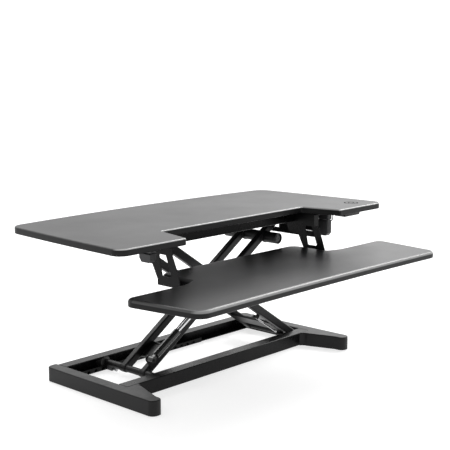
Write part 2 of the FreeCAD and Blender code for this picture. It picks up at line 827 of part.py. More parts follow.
def make_outer_arm():
    """The wide arm: hinged low at the right, rolling high at the left."""
    bores = [(HINGE_END, "0", "cross_radius"), (ROLLER_END, "0", "cross_radius"), ("0", "0", "pivot_radius")]
    arm_tube("outer_front_tube", OUTER, "outer_front_y", bores)
    arm_tube("outer_rear_tube", OUTER, "outer_rear_y", bores)
    bush = turned_tube("outer_lower_bush", "cross_radius", "axle_radius + running_fit", "bar_front_y",
                       "bar_rear_y")
    set_at(bush, "outer_lower_bush", ("hinge_x", "0", "low_pivot_z"))
    bar = turned_tube("outer_upper_bar", "cross_radius", "axle_radius", "bar_front_y", "bar_rear_y")
    set_at(bar, "outer_upper_bar", ("hinge_x - reach", "0", "top_pivot_z"))
    set_at(roller_axle("upper_roller_axle"), "upper_roller_axle", ("hinge_x - reach", "0", "top_pivot_z"))
    brace_plate("outer_brace", OUTER, "arm_length / 2 - brace_setback - brace_long",
                "outer_front_y + arm_wide / 2", "outer_rear_y - arm_wide / 2")
    make_centre_pivots()
    make_pull_rod()
    spring_mount("outer_spring_mount", OUTER, "-spring_eye_along", "-spring_eye_across",
                 "outer_front_y + arm_wide / 2", 1)


def make_inner_arm():
    """The narrow arm: rolling low at the left, hinged high at the right, with the torque tube."""
    bores = [(HINGE_END, "0", "cross_radius"), (ROLLER_END, "0", "cross_radius"),
             ("0", "0", "pivot_radius + running_fit"), (TORQUE_ALONG, "-torque_drop", "torque_radius")]
    arm_tube("inner_front_tube", INNER, "inner_front_y", bores)
    arm_tube("inner_rear_tube", INNER, "inner_rear_y", bores)
    bush = turned_tube("inner_upper_bush", "cross_radius", "axle_radius + running_fit", "bar_front_y",
                       "bar_rear_y")
    set_at(bush, "inner_upper_bush", ("hinge_x", "0", "top_pivot_z"))
    bar = turned_tube("inner_lower_bar", "cross_radius", "axle_radius", "bar_front_y", "bar_rear_y")
    set_at(bar, "inner_lower_bar", ("hinge_x - reach", "0", "low_pivot_z"))
    set_at(roller_axle("lower_roller_axle"), "lower_roller_axle", ("hinge_x - reach", "0", "low_pivot_z"))
    brace_plate("inner_brace", INNER, "-arm_length / 2 + brace_setback",
                "inner_front_y + arm_wide / 2", "inner_rear_y - arm_wide / 2")
    make_torque_tube()
    spring_mount("inner_spring_mount", INNER, "-spring_foot_along", "spring_foot_across",
                 "inner_front_y - arm_wide / 2", -1)
    make_lock_guide()


def brace_plate(label, frame, start, front, rear):
    """Shallow pressed plate that ties the two tubes of an arm along their lower faces."""
    body = new_body(label)
    sketch = new_sketch(body, "XZ_Plane", f"({front} + {rear}) / 2")
    low = "-arm_tall / 2"
    draw_polygon(sketch, [
        (start, low), (f"{start} + brace_long", low), (f"{start} + brace_long", f"{low} + 2 * brace_thick"),
        (f"{start} + brace_long - brace_thick", f"{low} + 2 * brace_thick"),
        (f"{start} + brace_long - brace_thick", f"{low} + brace_thick"),
        (f"{start} + brace_thick", f"{low} + brace_thick"),
        (f"{start} + brace_thick", f"{low} + 2 * brace_thick"), (start, f"{low} + 2 * brace_thick")])
    pad(body, sketch, f"({rear}) - ({front})")
    finished(body, label, frame)


def make_centre_pivots():
    """Two short bolts that join the arms where they cross, each with a spacer between the tubes."""
    bolts = []
    spacers = []
    ends = [("outer_front_y - arm_wide / 2", "inner_front_y + arm_wide / 2", 1),
            ("outer_rear_y + arm_wide / 2", "inner_rear_y - arm_wide / 2", -1)]
    for head, nut, sign in ends:
        far = f"{nut} + {sign} * face_gap"
        bolt = turned("pivot_bolt", [
            ("0", f"{head} - {sign} * pivot_head_thick"),
            ("pivot_head_radius", f"{head} - {sign} * pivot_head_thick"), ("pivot_head_radius", head),
            ("pivot_radius", head), ("pivot_radius", far), ("pivot_head_radius", far),
            ("pivot_head_radius", f"{far} + {sign} * pivot_head_thick"),
            ("0", f"{far} + {sign} * pivot_head_thick")])
        hex_socket(bolt, "0", "0", f"{head} - {sign} * pivot_head_thick", f"pivot_head_thick * {SOCKET_DEPTH}",
                   "pivot_head_radius / 2")
        set_place(bolt, ("cross_x", "0", "cross_z"))
        bolts.append(bolt)
        near = f"{head} + {sign} * arm_wide"
        spacer = turned_tube("pivot_spacer", "spacer_radius", "pivot_radius", near,
                             f"{nut} - {sign} * (arm_wide + face_gap)")
        set_place(spacer, ("cross_x", "0", "cross_z"))
        spacers.append(spacer)
    grouped("centre_pivot_bolts", bolts)
    grouped("centre_pivot_spacers", spacers)


def make_pull_rod():
    """Bright rod under the outer front tube that works the lock, and its two guides."""
    rod = new_body("lock_pull_rod")
    sketch = new_sketch(rod, "YZ_Plane", "(pull_rod_low + pull_rod_high) / 2")
    draw_circle(sketch, "pull_rod_y", "-pull_rod_drop", "pull_rod_radius")
    pad(rod, sketch, "pull_rod_length")
    finished(rod, "lock_pull_rod", OUTER)
    guides = []
    face = "outer_front_y + arm_wide / 2"
    for share in (0.08, 0.88):
        place = f"pull_rod_high + {share} * pull_rod_length"
        body = new_body("pull_rod_guide")
        sketch = new_sketch(body, "YZ_Plane", place)
        draw_rectangle(sketch, face, "pull_rod_y + guide_half", "-pull_rod_drop - guide_half",
                       "-pull_rod_drop + guide_half")
        pad(body, sketch, "guide_thick")
        bore = new_sketch(body, "YZ_Plane", place)
        draw_circle(bore, "pull_rod_y", "-pull_rod_drop", "pull_rod_radius")
        pocket(body, bore, "3 * guide_thick")
        root = new_sketch(body, "XZ_Plane", f"{face} + guide_thick / 2")
        draw_rectangle(root, f"{place} - guide_root_half", f"{place} + guide_root_half",
                       "-pull_rod_drop - guide_half", "-arm_tall / 2 + 2 * arm_corner")
        pad(body, root, "guide_thick")
        guides.append(body)
    result = DOC.addObject("Part::Compound", "Group")
    result.Links = guides
    finished(result, "pull_rod_guides", OUTER)


def spring_mount(label, frame, across, up, face, away):
    """Lug welded flat to a tube's side, with the stud that carries one end of the gas spring."""
    outer = f"{face} + {away} * lug_thick"
    tip = f"spring_y + {away} * (eye_wide / 2 + side_gap)"
    lug_front, stud_front = (face, outer) if away > 0 else (outer, tip)
    stud_long = f"abs(({tip}) - ({outer}))"
    low, high = (up, "arm_corner") if number(up) < 0 else ("-arm_corner", up)
    left, right = f"{across} - lug_radius", f"{across} + lug_radius"
    thing = fused([
        new_cylinder((across, lug_front, up), "+y", "lug_radius", "lug_thick"),
        new_box(left, right, lug_front, f"{lug_front} + lug_thick", low, high),
        new_cylinder((across, stud_front, up), "+y", "stud_radius", stud_long)])
    finished(thing, label, frame)


def make_torque_tube():
    """Large cross tube of the inner arm, with a plug and a bolt head in each end."""
    body = new_body("inner_torque_tube")
    front, rear = "bar_front_y + torque_inset", "bar_rear_y - torque_inset"
    sketch = new_sketch(body, "XZ_Plane", f"({front} + {rear}) / 2")
    draw_circle(sketch, TORQUE_ALONG, "-torque_drop", "torque_radius")
    draw_circle(sketch, TORQUE_ALONG, "-torque_drop", "torque_radius - torque_wall")
    pad(body, sketch, f"({rear}) - ({front})")
    finished(body, "inner_torque_tube", INNER)
    plugs = []
    for face, sign in ((front, 1), (rear, -1)):
        body = new_body("torque_tube_plug")
        middle = f"{face} + {sign} * (plug_recess + plug_thick / 2)"
        sketch = new_sketch(body, "XZ_Plane", middle)
        draw_circle(sketch, TORQUE_ALONG, "-torque_drop", "torque_radius - torque_wall")
        pad(body, sketch, "plug_thick")
        head = new_sketch(body, "XZ_Plane", f"{face} + {sign} * (plug_recess - plug_head_thick / 2)")
        draw_circle(head, TORQUE_ALONG, "-torque_drop", "pivot_head_radius")
        pad(body, head, "plug_head_thick")
        hex_socket(body, TORQUE_ALONG, "-torque_drop", f"{face} + {sign} * (plug_recess - plug_head_thick)",
                   f"plug_head_thick * {SOCKET_DEPTH}", "pivot_head_radius / 2")
        plugs.append(body)
    result = DOC.addObject("Part::Compound", "Group")
    result.Links = plugs
    finished(result, "torque_tube_plugs", INNER)


def make_lock_guide():
    """Block under the lower bar that guides the lock pin, and the pin just clear of the rack."""
    low = "low_pivot_z - lock_pin_drop"
    start = "rear_lip_y - rack_thick - lock_guide_gap - lock_guide_long"
    centre = "hinge_x - reach"
    half = "lock_guide_wide / 2"
    block = new_box(f"{centre} - {half}", f"{centre} + {half}", start, f"{start} + lock_guide_long",
                    f"{low} - lock_pin_radius - lock_guide_floor", "low_pivot_z")
    bar = new_cylinder((centre, "0", "low_pivot_z"), "+y", "cross_radius", "rear_rail_y")
    bore = new_cylinder((centre, "0", low), "+y", "lock_pin_radius + running_fit", "rear_rail_y")
    finished(cut_by(block, [bar, bore]), "lock_pin_guide")
    tip = "rear_lip_y - rack_thick - face_gap"
    pin = new_cylinder((centre, f"{tip} - lock_pin_length", low), "+y", "lock_pin_radius", "lock_pin_length")
    knob = new_cylinder((centre, f"{tip} - lock_pin_length - lock_knob_thick", low), "+y",
                        "lock_pin_radius + side_gap", "lock_knob_thick")
    finished(fused([pin, knob]), "lock_pin")


# ---------------------------------------------------------------- rollers and springs

def make_rollers():
    """Four rollers with a recessed hub, two in the base rails and two in the upper rails."""
    for height, radius, place in (("lower", "low_roller_radius", "low_pivot_z"),
                                  ("upper", "top_roller_radius", "top_pivot_z")):
        for depth, start, sign in (("front", "roller_front_y", 1), ("rear", "roller_rear_y", -1)):
            label = f"{depth}_{height}_roller"
            end = f"{start} + {sign} * roller_width"
            inset = f"{start} + {sign} * roller_chamfer"
            body = turned(label, [
                ("axle_radius + running_fit", start), ("axle_head_radius + hub_clearance", start),
                ("axle_head_radius + hub_clearance", inset), (f"{radius} - 2 * roller_chamfer", inset),
                (f"{radius} - 1.5 * roller_chamfer", start), (f"{radius} - roller_chamfer", start),
                (radius, inset), (radius, f"{end} - {sign} * roller_chamfer"), (f"{radius} - roller_chamfer", end),
                ("axle_radius + running_fit", end)])
            set_at(body, label, ("hinge_x - reach", "0", place))


def make_gas_spring():
    """Gas spring in the front gap between the arms: a short cylinder and a long bright rod."""
    inside = "cylinder_start + cylinder_floor"
    cylinder = cut_by(
        fused([
            new_cylinder(("cylinder_start", "0", "0"), "+x", "cylinder_radius", "cylinder_length"),
            new_cylinder(("0", "-eye_wide / 2", "0"), "+y", "eye_radius", "eye_wide"),
            new_box("0", "cylinder_start + side_gap", "-eye_wide / 4", "eye_wide / 4", "-eye_neck / 2",
                    "eye_neck / 2")]),
        [
            new_cylinder(("0", "-eye_wide", "0"), "+y", "stud_radius + running_fit", "2 * eye_wide"),
            new_cylinder((inside, "0", "0"), "+x", "cylinder_radius - cylinder_wall",
                         "cylinder_length - cylinder_floor - gland_long"),
            new_cylinder((inside, "0", "0"), "+x", "gland_bore", "cylinder_length")])
    spring_end(cylinder, "spring_cylinder", "spring_foot_x", "spring_foot_z", "0 deg")
    rod = cut_by(
        fused([
            new_cylinder(("eye_radius - side_gap", "0", "0"), "+x", "rod_radius",
                         "spring_length - eye_radius - cylinder_start - cylinder_length + rod_inside_length"),
            new_cylinder(("eye_radius - 2 * side_gap", "0", "0"), "+x", "rod_radius + side_gap", "collar_long"),
            new_cylinder(("0", "-eye_wide / 2", "0"), "+y", "eye_radius", "eye_wide")]),
        [new_cylinder(("0", "-eye_wide", "0"), "+y", "stud_radius + running_fit", "2 * eye_wide")])
    spring_end(rod, "spring_rod", "spring_eye_x", "spring_eye_z", "180 deg")


def spring_end(thing, label, across, up, turn):
    """Place one end of the spring at its stud, along the spring or turned against it."""
    thing.Label = label
    thing.Placement = FreeCAD.Placement(VECTOR(), FreeCAD.Rotation(VECTOR(0, -1, 0), 1))
    for axis, text in zip("xyz", (across, "spring_y", up)):
        bind(thing, f"Placement.Base.{axis}", text)
    bind(thing, "Placement.Rotation.Angle", f"{turn} + atan2(spring_climb; spring_run)")
    SUB_PARTS.append(thing)


# ---------------------------------------------------------------- boards

def notch_corners(side):
    """Corners of the deck's front notch on one side."""
    return [(f"{side} * notch_mouth / 2", "deck_front_y"),
            (f"{side} * notch_floor / 2", "deck_front_y + notch_depth")]


def make_deck_board():
    """Deck board with bowed sides, round corners and an open notch in its front edge."""
    body = new_body("deck_board")
    sketch = new_sketch(body, "XY_Plane", "deck_under + deck_thick / 2")
    rear = "deck_front_y + deck_depth - deck_rear_bow"
    fronts = [("-deck_width / 2", "deck_front_y"), ("deck_width / 2", "deck_front_y")]
    rears = [("deck_rear_width / 2", rear), ("-deck_rear_width / 2", rear)]
    left, right = notch_corners("-1"), notch_corners("1")
    bows = {5: "deck_side_bow", 6: "deck_rear_bow", 7: "deck_side_bow"}
    draw_polygon(sketch, [fronts[0], left[0], left[1], right[1], right[0], fronts[1], *rears], bows)
    pad(body, sketch, "deck_thick")
    round_edges(body, "deck_front_radius", along("z", fronts))
    round_edges(body, "deck_rear_radius", along("z", rears))
    round_edges(body, "notch_radius", along("z", left + right))
    round_edges(body, "deck_edge_round", on_level("z", "deck_top"))
    round_edges(body, "deck_edge_round / 2", on_level("z", "deck_under"))
    recess = new_sketch(body, "XY_Plane", "deck_top")
    draw_circle(recess, "charger_x", "charger_y", "charger_radius + drill_fit")
    pocket(body, recess, "2 * charger_thick")
    drills = new_sketch(body, "XY_Plane", "deck_under")
    for across, up in deck_screw_places():
        draw_circle(drills, across, up, "screw_radius")
    pocket(body, drills, "2 * screw_length")
    finished(body, "deck_board")
    disc = new_body("charging_pad")
    sketch = new_sketch(disc, "XY_Plane", "deck_top - charger_thick / 2")
    draw_circle(sketch, "charger_x", "charger_y", "charger_radius")
    pad(disc, sketch, "charger_thick")
    round_edges(disc, "charger_rim", on_level("z", "deck_top"))
    finished(disc, "charging_pad")


def rail_screw_places():
    """Places of the screws through the upper rails into the deck."""
    return [(place, row) for place in RAIL_SCREWS
            for row in ("(front_rail_y + front_lip_y) / 2", "(rear_rail_y + rear_lip_y) / 2")]


def bracket_screw_places():
    """Places of the screws through the brackets' top flanges into the deck."""
    return [(f"{sign} * (bracket_x + flange_wide / 2)", row)
            for sign in (-1, 1) for row in ("bracket_front_y + screw_edge", "flange_rear_y - screw_edge")]


def deck_screw_places():
    """All screws that enter the deck from below."""
    return rail_screw_places() + bracket_screw_places()


def tray_screw_places():
    """Places of the screws through the brackets' lower flanges into the tray."""
    rows = ("bracket_heel_y + 2 * bracket_bend + screw_inset", "bracket_toe_y - screw_inset")
    return [(f"{sign} * (bracket_x - under_reach + screw_inset)", row) for sign in (-1, 1) for row in rows]


def make_keyboard_tray():
    """Keyboard tray: a wide wing with a hollow front edge and a narrower tongue behind it."""
    body = new_body("keyboard_tray")
    sketch = new_sketch(body, "XY_Plane", "tray_top - tray_thick / 2")
    fronts = [(f"{side} * tray_front_width / 2", "tray_front_y") for side in (-1, 1)]
    wings = [(f"{side} * tray_width / 2", "tray_rear_y") for side in (1, -1)]
    shoulders = [(f"{side} * shoulder_width / 2", "tray_rear_y") for side in (1, -1)]
    necks = [(f"{side} * tongue_half", "tray_rear_y + shoulder_rise") for side in (1, -1)]
    tongues = [(f"{side} * tongue_half", "tongue_rear_y") for side in (1, -1)]
    draw_polygon(sketch, [*fronts, wings[0], shoulders[0], necks[0], tongues[0], tongues[1], necks[1],
                          shoulders[1], wings[1]], {0: "-tray_front_bow"})
    pad(body, sketch, "tray_thick")
    round_edges(body, "tray_front_radius", along("z", fronts))
    round_edges(body, "tray_rear_radius", along("z", wings))
    round_edges(body, "shoulder_radius", along("z", shoulders + necks))
    round_edges(body, "tongue_radius", along("z", tongues))
    round_edges(body, "tray_top_round", on_level("z", "tray_top"))
    round_edges(body, "tray_under_round", on_level("z", "tray_under"))
    drills = new_sketch(body, "XY_Plane", "tray_under")
    for across, up in tray_screw_places():
        draw_circle(drills, across, up, "screw_radius")
    pocket(body, drills, "2 * screw_length")
    finished(body, "keyboard_tray")


# ---------------------------------------------------------------- tray carrier

def make_brackets():
    """Bent sheet brackets that hang the tray from the deck, each with a slanted window."""
    arm_low = "deck_under - bracket_arm_drop"
    foot_low = "tray_under - under_flange"
    outline = [
        ("bracket_front_y", "deck_under"), ("bracket_front_y", "deck_under - window_top_drop"),
        ("bracket_knee_y", "tray_top + bracket_knee_rise"), ("bracket_heel_y", "tray_top - bracket_bend"),
        ("bracket_heel_y + bracket_bend", foot_low), ("bracket_toe_y", foot_low),
        ("bracket_toe_y", "tray_top - bracket_bend"), ("bracket_leg_y", arm_low),
        ("bracket_arm_y - bracket_arm_slant", arm_low), ("bracket_arm_y", "upper_rail_low"),
        ("front_rail_y", "upper_rail_low"), ("front_rail_y", "deck_under")]
    opening = [
        ("bracket_leg_y - window_rear_rim", "deck_under - window_top_drop"),
        ("bracket_front_y + window_front_rim", "deck_under - window_top_drop"),
        ("bracket_heel_y + window_heel_rim", "tray_top + window_rise"),
        ("bracket_toe_y - window_toe_rim", "tray_top + window_rise")]
    for name, side in (("left", -1), ("right", 1)):
        body = new_body(f"{name}_tray_bracket")
        plate = new_sketch(body, "YZ_Plane", f"{side} * bracket_x")
        draw_polygon(plate, outline)
        pad(body, plate, "sheet_thick")
        round_edges(body, "bracket_bend", along("x", [outline[3], outline[8]]))
        window = new_sketch(body, "YZ_Plane", f"{side} * bracket_x")
        draw_polygon(window, opening)
        pocket(body, window, "3 * sheet_thick")
        round_edges(body, "window_radius", along("x", opening))
        inner = f"{side} * (bracket_x - sheet_thick / 2)"
        outer = f"{side} * (bracket_x + sheet_thick / 2)"
        top = new_sketch(body, "XY_Plane", "deck_under - sheet_thick / 2")
        draw_rectangle(top, inner, f"{side} * (bracket_x + flange_wide)", "bracket_front_y", "flange_rear_y")
        pad(body, top, "sheet_thick")
        front = new_sketch(body, "XZ_Plane", "bracket_front_y + sheet_thick / 2")
        draw_rectangle(front, outer, f"{side} * (bracket_x - front_flange)",
                       "deck_under - sheet_thick - front_flange_tall", "deck_under - sheet_thick")
        pad(body, front, "sheet_thick")
        under = new_sketch(body, "XY_Plane", "tray_under - under_flange / 2")
        draw_rectangle(under, outer, f"{side} * (bracket_x - under_reach)", "bracket_heel_y + 2 * bracket_bend",
                       "bracket_toe_y")
        pad(body, under, "under_flange")
        drills = new_sketch(body, "XY_Plane", "deck_under")
        for across, up in bracket_screw_places():
            if across.startswith(f"{side} "):
                draw_circle(drills, across, up, "screw_radius + drill_fit")
        pocket(body, drills, "3 * sheet_thick")
        lower = new_sketch(body, "XY_Plane", "tray_under")
        for across, up in tray_screw_places():
            if across.startswith(f"{side} "):
                draw_circle(lower, across, up, "screw_radius + drill_fit")
        pocket(body, lower, "4 * under_flange")
        finished(body, f"{name}_tray_bracket")


def make_link_plate():
    """Side plate of the release linkage: a folded sheet that hangs outside the right bracket."""
    low = "deck_under - link_drop"
    slot_top = "deck_under - link_slot_drop"
    tail_top = f"{low} + link_tail_tall"
    plate = new_body("release_side_plate")
    sheet = new_sketch(plate, "YZ_Plane", "link_x")
    outline = [("link_front_y", "deck_under"), ("link_front_y", low), ("link_tail_y", low),
               ("link_tail_y", tail_top), ("link_rear_y", tail_top), ("link_rear_y", "upper_rail_low"),
               ("front_rail_y", "upper_rail_low"), ("front_rail_y", "deck_under")]
    draw_polygon(sheet, outline)
    pad(plate, sheet, "link_thick")
    round_edges(plate, "link_corner", along("x", outline[1:3]))
    slot = new_sketch(plate, "YZ_Plane", "link_x")
    draw_rectangle(slot, "link_slot_front_y", "link_slot_rear_y", f"{slot_top} - link_slot_tall", slot_top)
    pocket(plate, slot, "3 * link_thick")
    edge = "link_x + link_thick / 2"
    flange = new_sketch(plate, "XY_Plane", "deck_under - link_thick / 2")
    draw_rectangle(flange, f"{edge} - link_thick", f"{edge} + link_flange", "link_front_y", "front_rail_y")
    pad(plate, flange, "link_thick")
    finished(plate, "release_side_plate")


def make_screws():
    """Screws of the upper rails, of the brackets under the deck and of the brackets under the tray."""
    head = ("screw_head_radius", "screw_head_thick", "screw_radius")
    rails = [screw((across, up, "deck_under - rail_wall - screw_head_thick"), "+z", *head,
                   "rail_wall + screw_length - 1") for across, up in rail_screw_places()]
    grouped("rail_screws", rails)
    brackets = [screw((across, up, "deck_under - sheet_thick - screw_head_thick"), "+z", *head,
                      "sheet_thick + screw_length - 1") for across, up in bracket_screw_places()]
    grouped("bracket_screws", brackets)
    trays = [screw((across, up, "tray_under - under_flange - flat_head_thick"), "+z", "screw_head_radius",
                   "flat_head_thick", "screw_radius", "under_flange + screw_length - 1")
             for across, up in tray_screw_places()]
    grouped("tray_screws", trays)


# ---------------------------------------------------------------- upper frame and small things

def make_upper_members():
    """Box tubes that tie the upper rails at their ends, and the upper hinge axle."""
    for label, left, right in (
            ("upper_left_member", "upper_left_x", "upper_left_x + left_member"),
            ("upper_right_member", "upper_right_x - right_member", "upper_right_x")):
        body = new_body(label)
        sketch = new_sketch(body, "XZ_Plane", "middle_y")
        draw_rectangle(sketch, left, right, "upper_rail_low", "deck_under")
        draw_rectangle(sketch, f"{left} + member_wall", f"{right} - member_wall",
                       "upper_rail_low + member_wall", "deck_under - member_wall")
        pad(body, sketch, "rear_lip_y - front_lip_y")
        finished(body, label)
    set_at(hinge_axle("upper_hinge_axle"), "upper_hinge_axle", ("hinge_x", "0", "top_pivot_z"))


def make_levers():
    """Release levers under the deck's sides, a short left one and a long right one, with housings and pins."""
    pins = []
    pin = ("lever_pin_y", "lever_pin_z")
    inside_width = "lever_wide - 2 * housing_wall - 2 * lever_gap"
    for name, side, tall in (("left", "-1", "left_lever_tall"), ("right", "1", "right_lever_tall")):
        middle = f"{side} * lever_offset"
        housing = new_body(f"{name}_lever_housing")
        shell = new_sketch(housing, "XY_Plane", "deck_under - housing_tall / 2")
        draw_rectangle(shell, f"{middle} - lever_wide / 2", f"{middle} + lever_wide / 2", "lever_front_y",
                       "lever_rear_y")
        pad(housing, shell, "housing_tall")
        corners = [(f"{middle} + {edge} * lever_wide / 2", end) for edge in (-1, 1)
                   for end in ("lever_front_y", "lever_rear_y")]
        round_edges(housing, "housing_corner", along("z", corners))
        hollow = new_sketch(housing, "XY_Plane", "deck_under - housing_tall")
        draw_rectangle(hollow, f"{middle} - lever_wide / 2 + housing_wall",
                       f"{middle} + lever_wide / 2 - housing_wall", "lever_front_y + housing_wall",
                       "lever_rear_y - housing_wall")
        pocket(housing, hollow, "2 * (housing_tall - housing_wall)")
        bore = new_sketch(housing, "YZ_Plane", middle)
        draw_circle(bore, *pin, "lever_pin_radius")
        pocket(housing, bore, "2 * lever_wide")
        finished(housing, f"{name}_lever_housing")

        lever = new_body(f"{name}_release_lever")
        top = "deck_under - housing_tall - lever_rise_gap"
        low = f"deck_under - {tall}"
        paddle = new_sketch(lever, "YZ_Plane", middle)
        outline = [("lever_front_y + side_gap", top), ("lever_front_y + side_gap", f"{low} + 2 * lever_corner"),
                   ("lever_front_y + 2 * lever_corner", low), ("lever_rear_y - 2 * lever_corner", low),
                   ("lever_rear_y", f"{low} + 2.5 * lever_corner"), ("lever_rear_y", f"{top} - lever_corner"),
                   ("lever_rear_y - lever_corner", top)]
        draw_polygon(paddle, outline)
        pad(lever, paddle, "lever_wide")
        round_edges(lever, "lever_corner", along("x", outline[1:4]))
        for edge in (-1, 1):
            round_edges(lever, "lever_edge_round", on_level("x", f"{middle} + {edge} * lever_wide / 2"))
        neck = new_sketch(lever, "YZ_Plane", middle)
        draw_rectangle(neck, "lever_pin_y - lever_eye_radius", "lever_pin_y + lever_eye_radius",
                       f"{top} - lever_corner", "lever_pin_z")
        pad(lever, neck, inside_width)
        eye = new_sketch(lever, "YZ_Plane", middle)
        draw_circle(eye, *pin, "lever_eye_radius")
        pad(lever, eye, inside_width)
        hole = new_sketch(lever, "YZ_Plane", middle)
        draw_circle(hole, *pin, "lever_pin_radius + running_fit")
        pocket(lever, hole, "lever_wide")
        finished(lever, f"{name}_release_lever")
        pins.append(new_cylinder((f"{middle} - lever_wide / 2", *pin), "+x", "lever_pin_radius", "lever_wide"))
    grouped("lever_pins", pins)


def make_deck_details():
    """Power module under the front edge and the wire hook beside the right lever."""
    module = new_body("power_module")
    sketch = new_sketch(module, "XY_Plane", "deck_under - module_tall / 2")
    draw_rectangle(sketch, "module_left_x", "module_left_x + module_wide", "deck_front_y + deck_edge_round",
                   "deck_front_y + deck_edge_round + module_deep")
    pad(module, sketch, "module_tall")
    round_edges(module, "module_round", on_level("z", "deck_under - module_tall"))
    finished(module, "power_module")

    bend = DOC.addObject("Part::Torus", "Torus")
    bind(bend, "Radius1", "hook_radius")
    bind(bend, "Radius2", "wire_radius")
    bend.Angle3 = 180
    low = "deck_under - hook_drop + hook_radius"
    set_place(bend, ("hook_x", "hook_y", low), "+y")
    legs = [new_cylinder((f"hook_x + {side} * hook_radius", "hook_y", low), "+z", "wire_radius",
                         "hook_drop - hook_radius") for side in (-1, 1)]
    finished(fused([bend, *legs]), "wire_hook")


# ---------------------------------------------------------------- build and write

def check_and_write():
    """Stop on any failed object or broken shape, then write one file per sub-part."""
    DOC.recompute()
    for thing in DOC.Objects:
        if "Invalid" in thing.State or "Error" in thing.State:
            raise ValueError(f"{thing.Name} ({thing.Label}) failed")
    for thing in SUB_PARTS:
        if thing.Shape.isNull() or not thing.Shape.isValid() or not thing.Shape.Solids:
            raise ValueError(f"{thing.Label} has no valid solid")
    os.makedirs("parts", exist_ok=True)
    for thing in SUB_PARTS:
        thing.Shape.exportStep(f"parts/{thing.Label}.step")
        print(f"{thing.Label}: {len(thing.Shape.Solids)} solid(s), {thing.Shape.Volume / 1000:.1f} cm3")


make_base_rails()
make_feet()
make_base_details()
make_outer_arm()
make_inner_arm()
make_rollers()
make_gas_spring()
make_upper_rails()
make_upper_members()
make_deck_board()
make_keyboard_tray()
make_brackets()
make_link_plate()
make_screws()
make_levers()
make_deck_details()
check_and_write()
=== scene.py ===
"""Looks of a standing desk converter: finishes, small formed details, studio and camera.

Every length is in metres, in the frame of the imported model: +Z up, +X to the user's right and +Y from the
user to the back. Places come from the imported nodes' own boxes.
"""

import logging
import math
from dataclasses import dataclass, field
from enum import Enum

import bmesh
import bpy
from mathutils import Euler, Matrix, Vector


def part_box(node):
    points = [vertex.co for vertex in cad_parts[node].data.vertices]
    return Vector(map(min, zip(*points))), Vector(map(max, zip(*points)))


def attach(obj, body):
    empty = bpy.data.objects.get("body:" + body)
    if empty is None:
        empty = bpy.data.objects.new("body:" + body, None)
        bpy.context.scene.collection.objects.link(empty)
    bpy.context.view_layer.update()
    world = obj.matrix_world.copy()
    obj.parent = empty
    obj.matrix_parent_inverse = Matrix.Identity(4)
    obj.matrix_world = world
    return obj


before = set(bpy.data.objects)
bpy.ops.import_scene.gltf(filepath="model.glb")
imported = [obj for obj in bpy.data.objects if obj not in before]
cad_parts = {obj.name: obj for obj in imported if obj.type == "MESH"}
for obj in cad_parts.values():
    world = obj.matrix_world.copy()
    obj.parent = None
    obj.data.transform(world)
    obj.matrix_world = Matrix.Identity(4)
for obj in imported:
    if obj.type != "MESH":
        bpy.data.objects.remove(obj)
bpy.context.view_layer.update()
LOG = logging.getLogger("desk_converter")
MM = 0.001

Colour = tuple[float, float, float]
Axes = tuple[float, float, float]
Stops = tuple[tuple[float, float], ...]


class Grain(Enum):
    """Kinds of fine surface relief."""

    LAMINATE = "pressed laminate with a shallow pebble"
    POWDER = "sprayed powder coat with orange peel"
    CAST = "powder coat over a casting"
    DRAWN = "metal with fine lengthwise lines"
    TURNED = "metal with fine rings round its axis"
    ENAMEL = "smooth sprayed enamel"
    MOULDED = "spark-eroded plastic"
    RUBBER = "dull rubber with specks"


@dataclass(frozen=True)
class Relief:
    """Scale and depth of one kind of grain.

    Attributes:
        size: Width of one grain.
        depth: Height of the grain.
        stretch: Factors on the X, Y and Z coordinates; one below 1 lengthens the grain along its axis.
        detail: Octaves of the noise.
    """

    size: float
    depth: float
    stretch: Axes = (1.0, 1.0, 1.0)
    detail: float = 3.0


RELIEFS: dict[Grain, Relief] = {
    Grain.LAMINATE: Relief(size=1.1 * MM, depth=0.012 * MM, detail=4.0),
    Grain.POWDER: Relief(size=0.9 * MM, depth=0.05 * MM),
    Grain.CAST: Relief(size=1.4 * MM, depth=0.07 * MM),
    Grain.DRAWN: Relief(size=0.35 * MM, depth=0.012 * MM, stretch=(0.03, 1.0, 1.0)),
    Grain.TURNED: Relief(size=0.3 * MM, depth=0.01 * MM, stretch=(1.0, 0.05, 1.0)),
    Grain.ENAMEL: Relief(size=3.0 * MM, depth=0.02 * MM, detail=1.0),
    Grain.MOULDED: Relief(size=0.45 * MM, depth=0.06 * MM),
    Grain.RUBBER: Relief(size=0.8 * MM, depth=0.09 * MM, detail=5.0),
}


@dataclass(frozen=True)
class Drift:
    """How colour and roughness wander over every finish.

    Attributes:
        rough: Share that each octave of the noise keeps of the one before.
        patch_detail: Octaves of the broad patches of colour.
        speckle: Width of a speckle in grains.
        speckle_detail: Octaves of the speckles.
        speckle_share: Share of the speckles in the colour, beside the patches.
        colour_span: Noise levels at which the main colour ends and the worn one is full.
        dull_patch: Width of a dull place in patches.
        dull_detail: Octaves of the dull places.
        dull_span: Noise levels at which the roughness is least and greatest.
    """

    rough: float = 0.55
    patch_detail: float = 4.0
    speckle: float = 2.0
    speckle_detail: float = 2.0
    speckle_share: float = 0.35
    colour_span: tuple[float, float] = (0.38, 0.72)
    dull_patch: float = 0.5
    dull_detail: float = 5.0
    dull_span: tuple[float, float] = (0.3, 0.7)


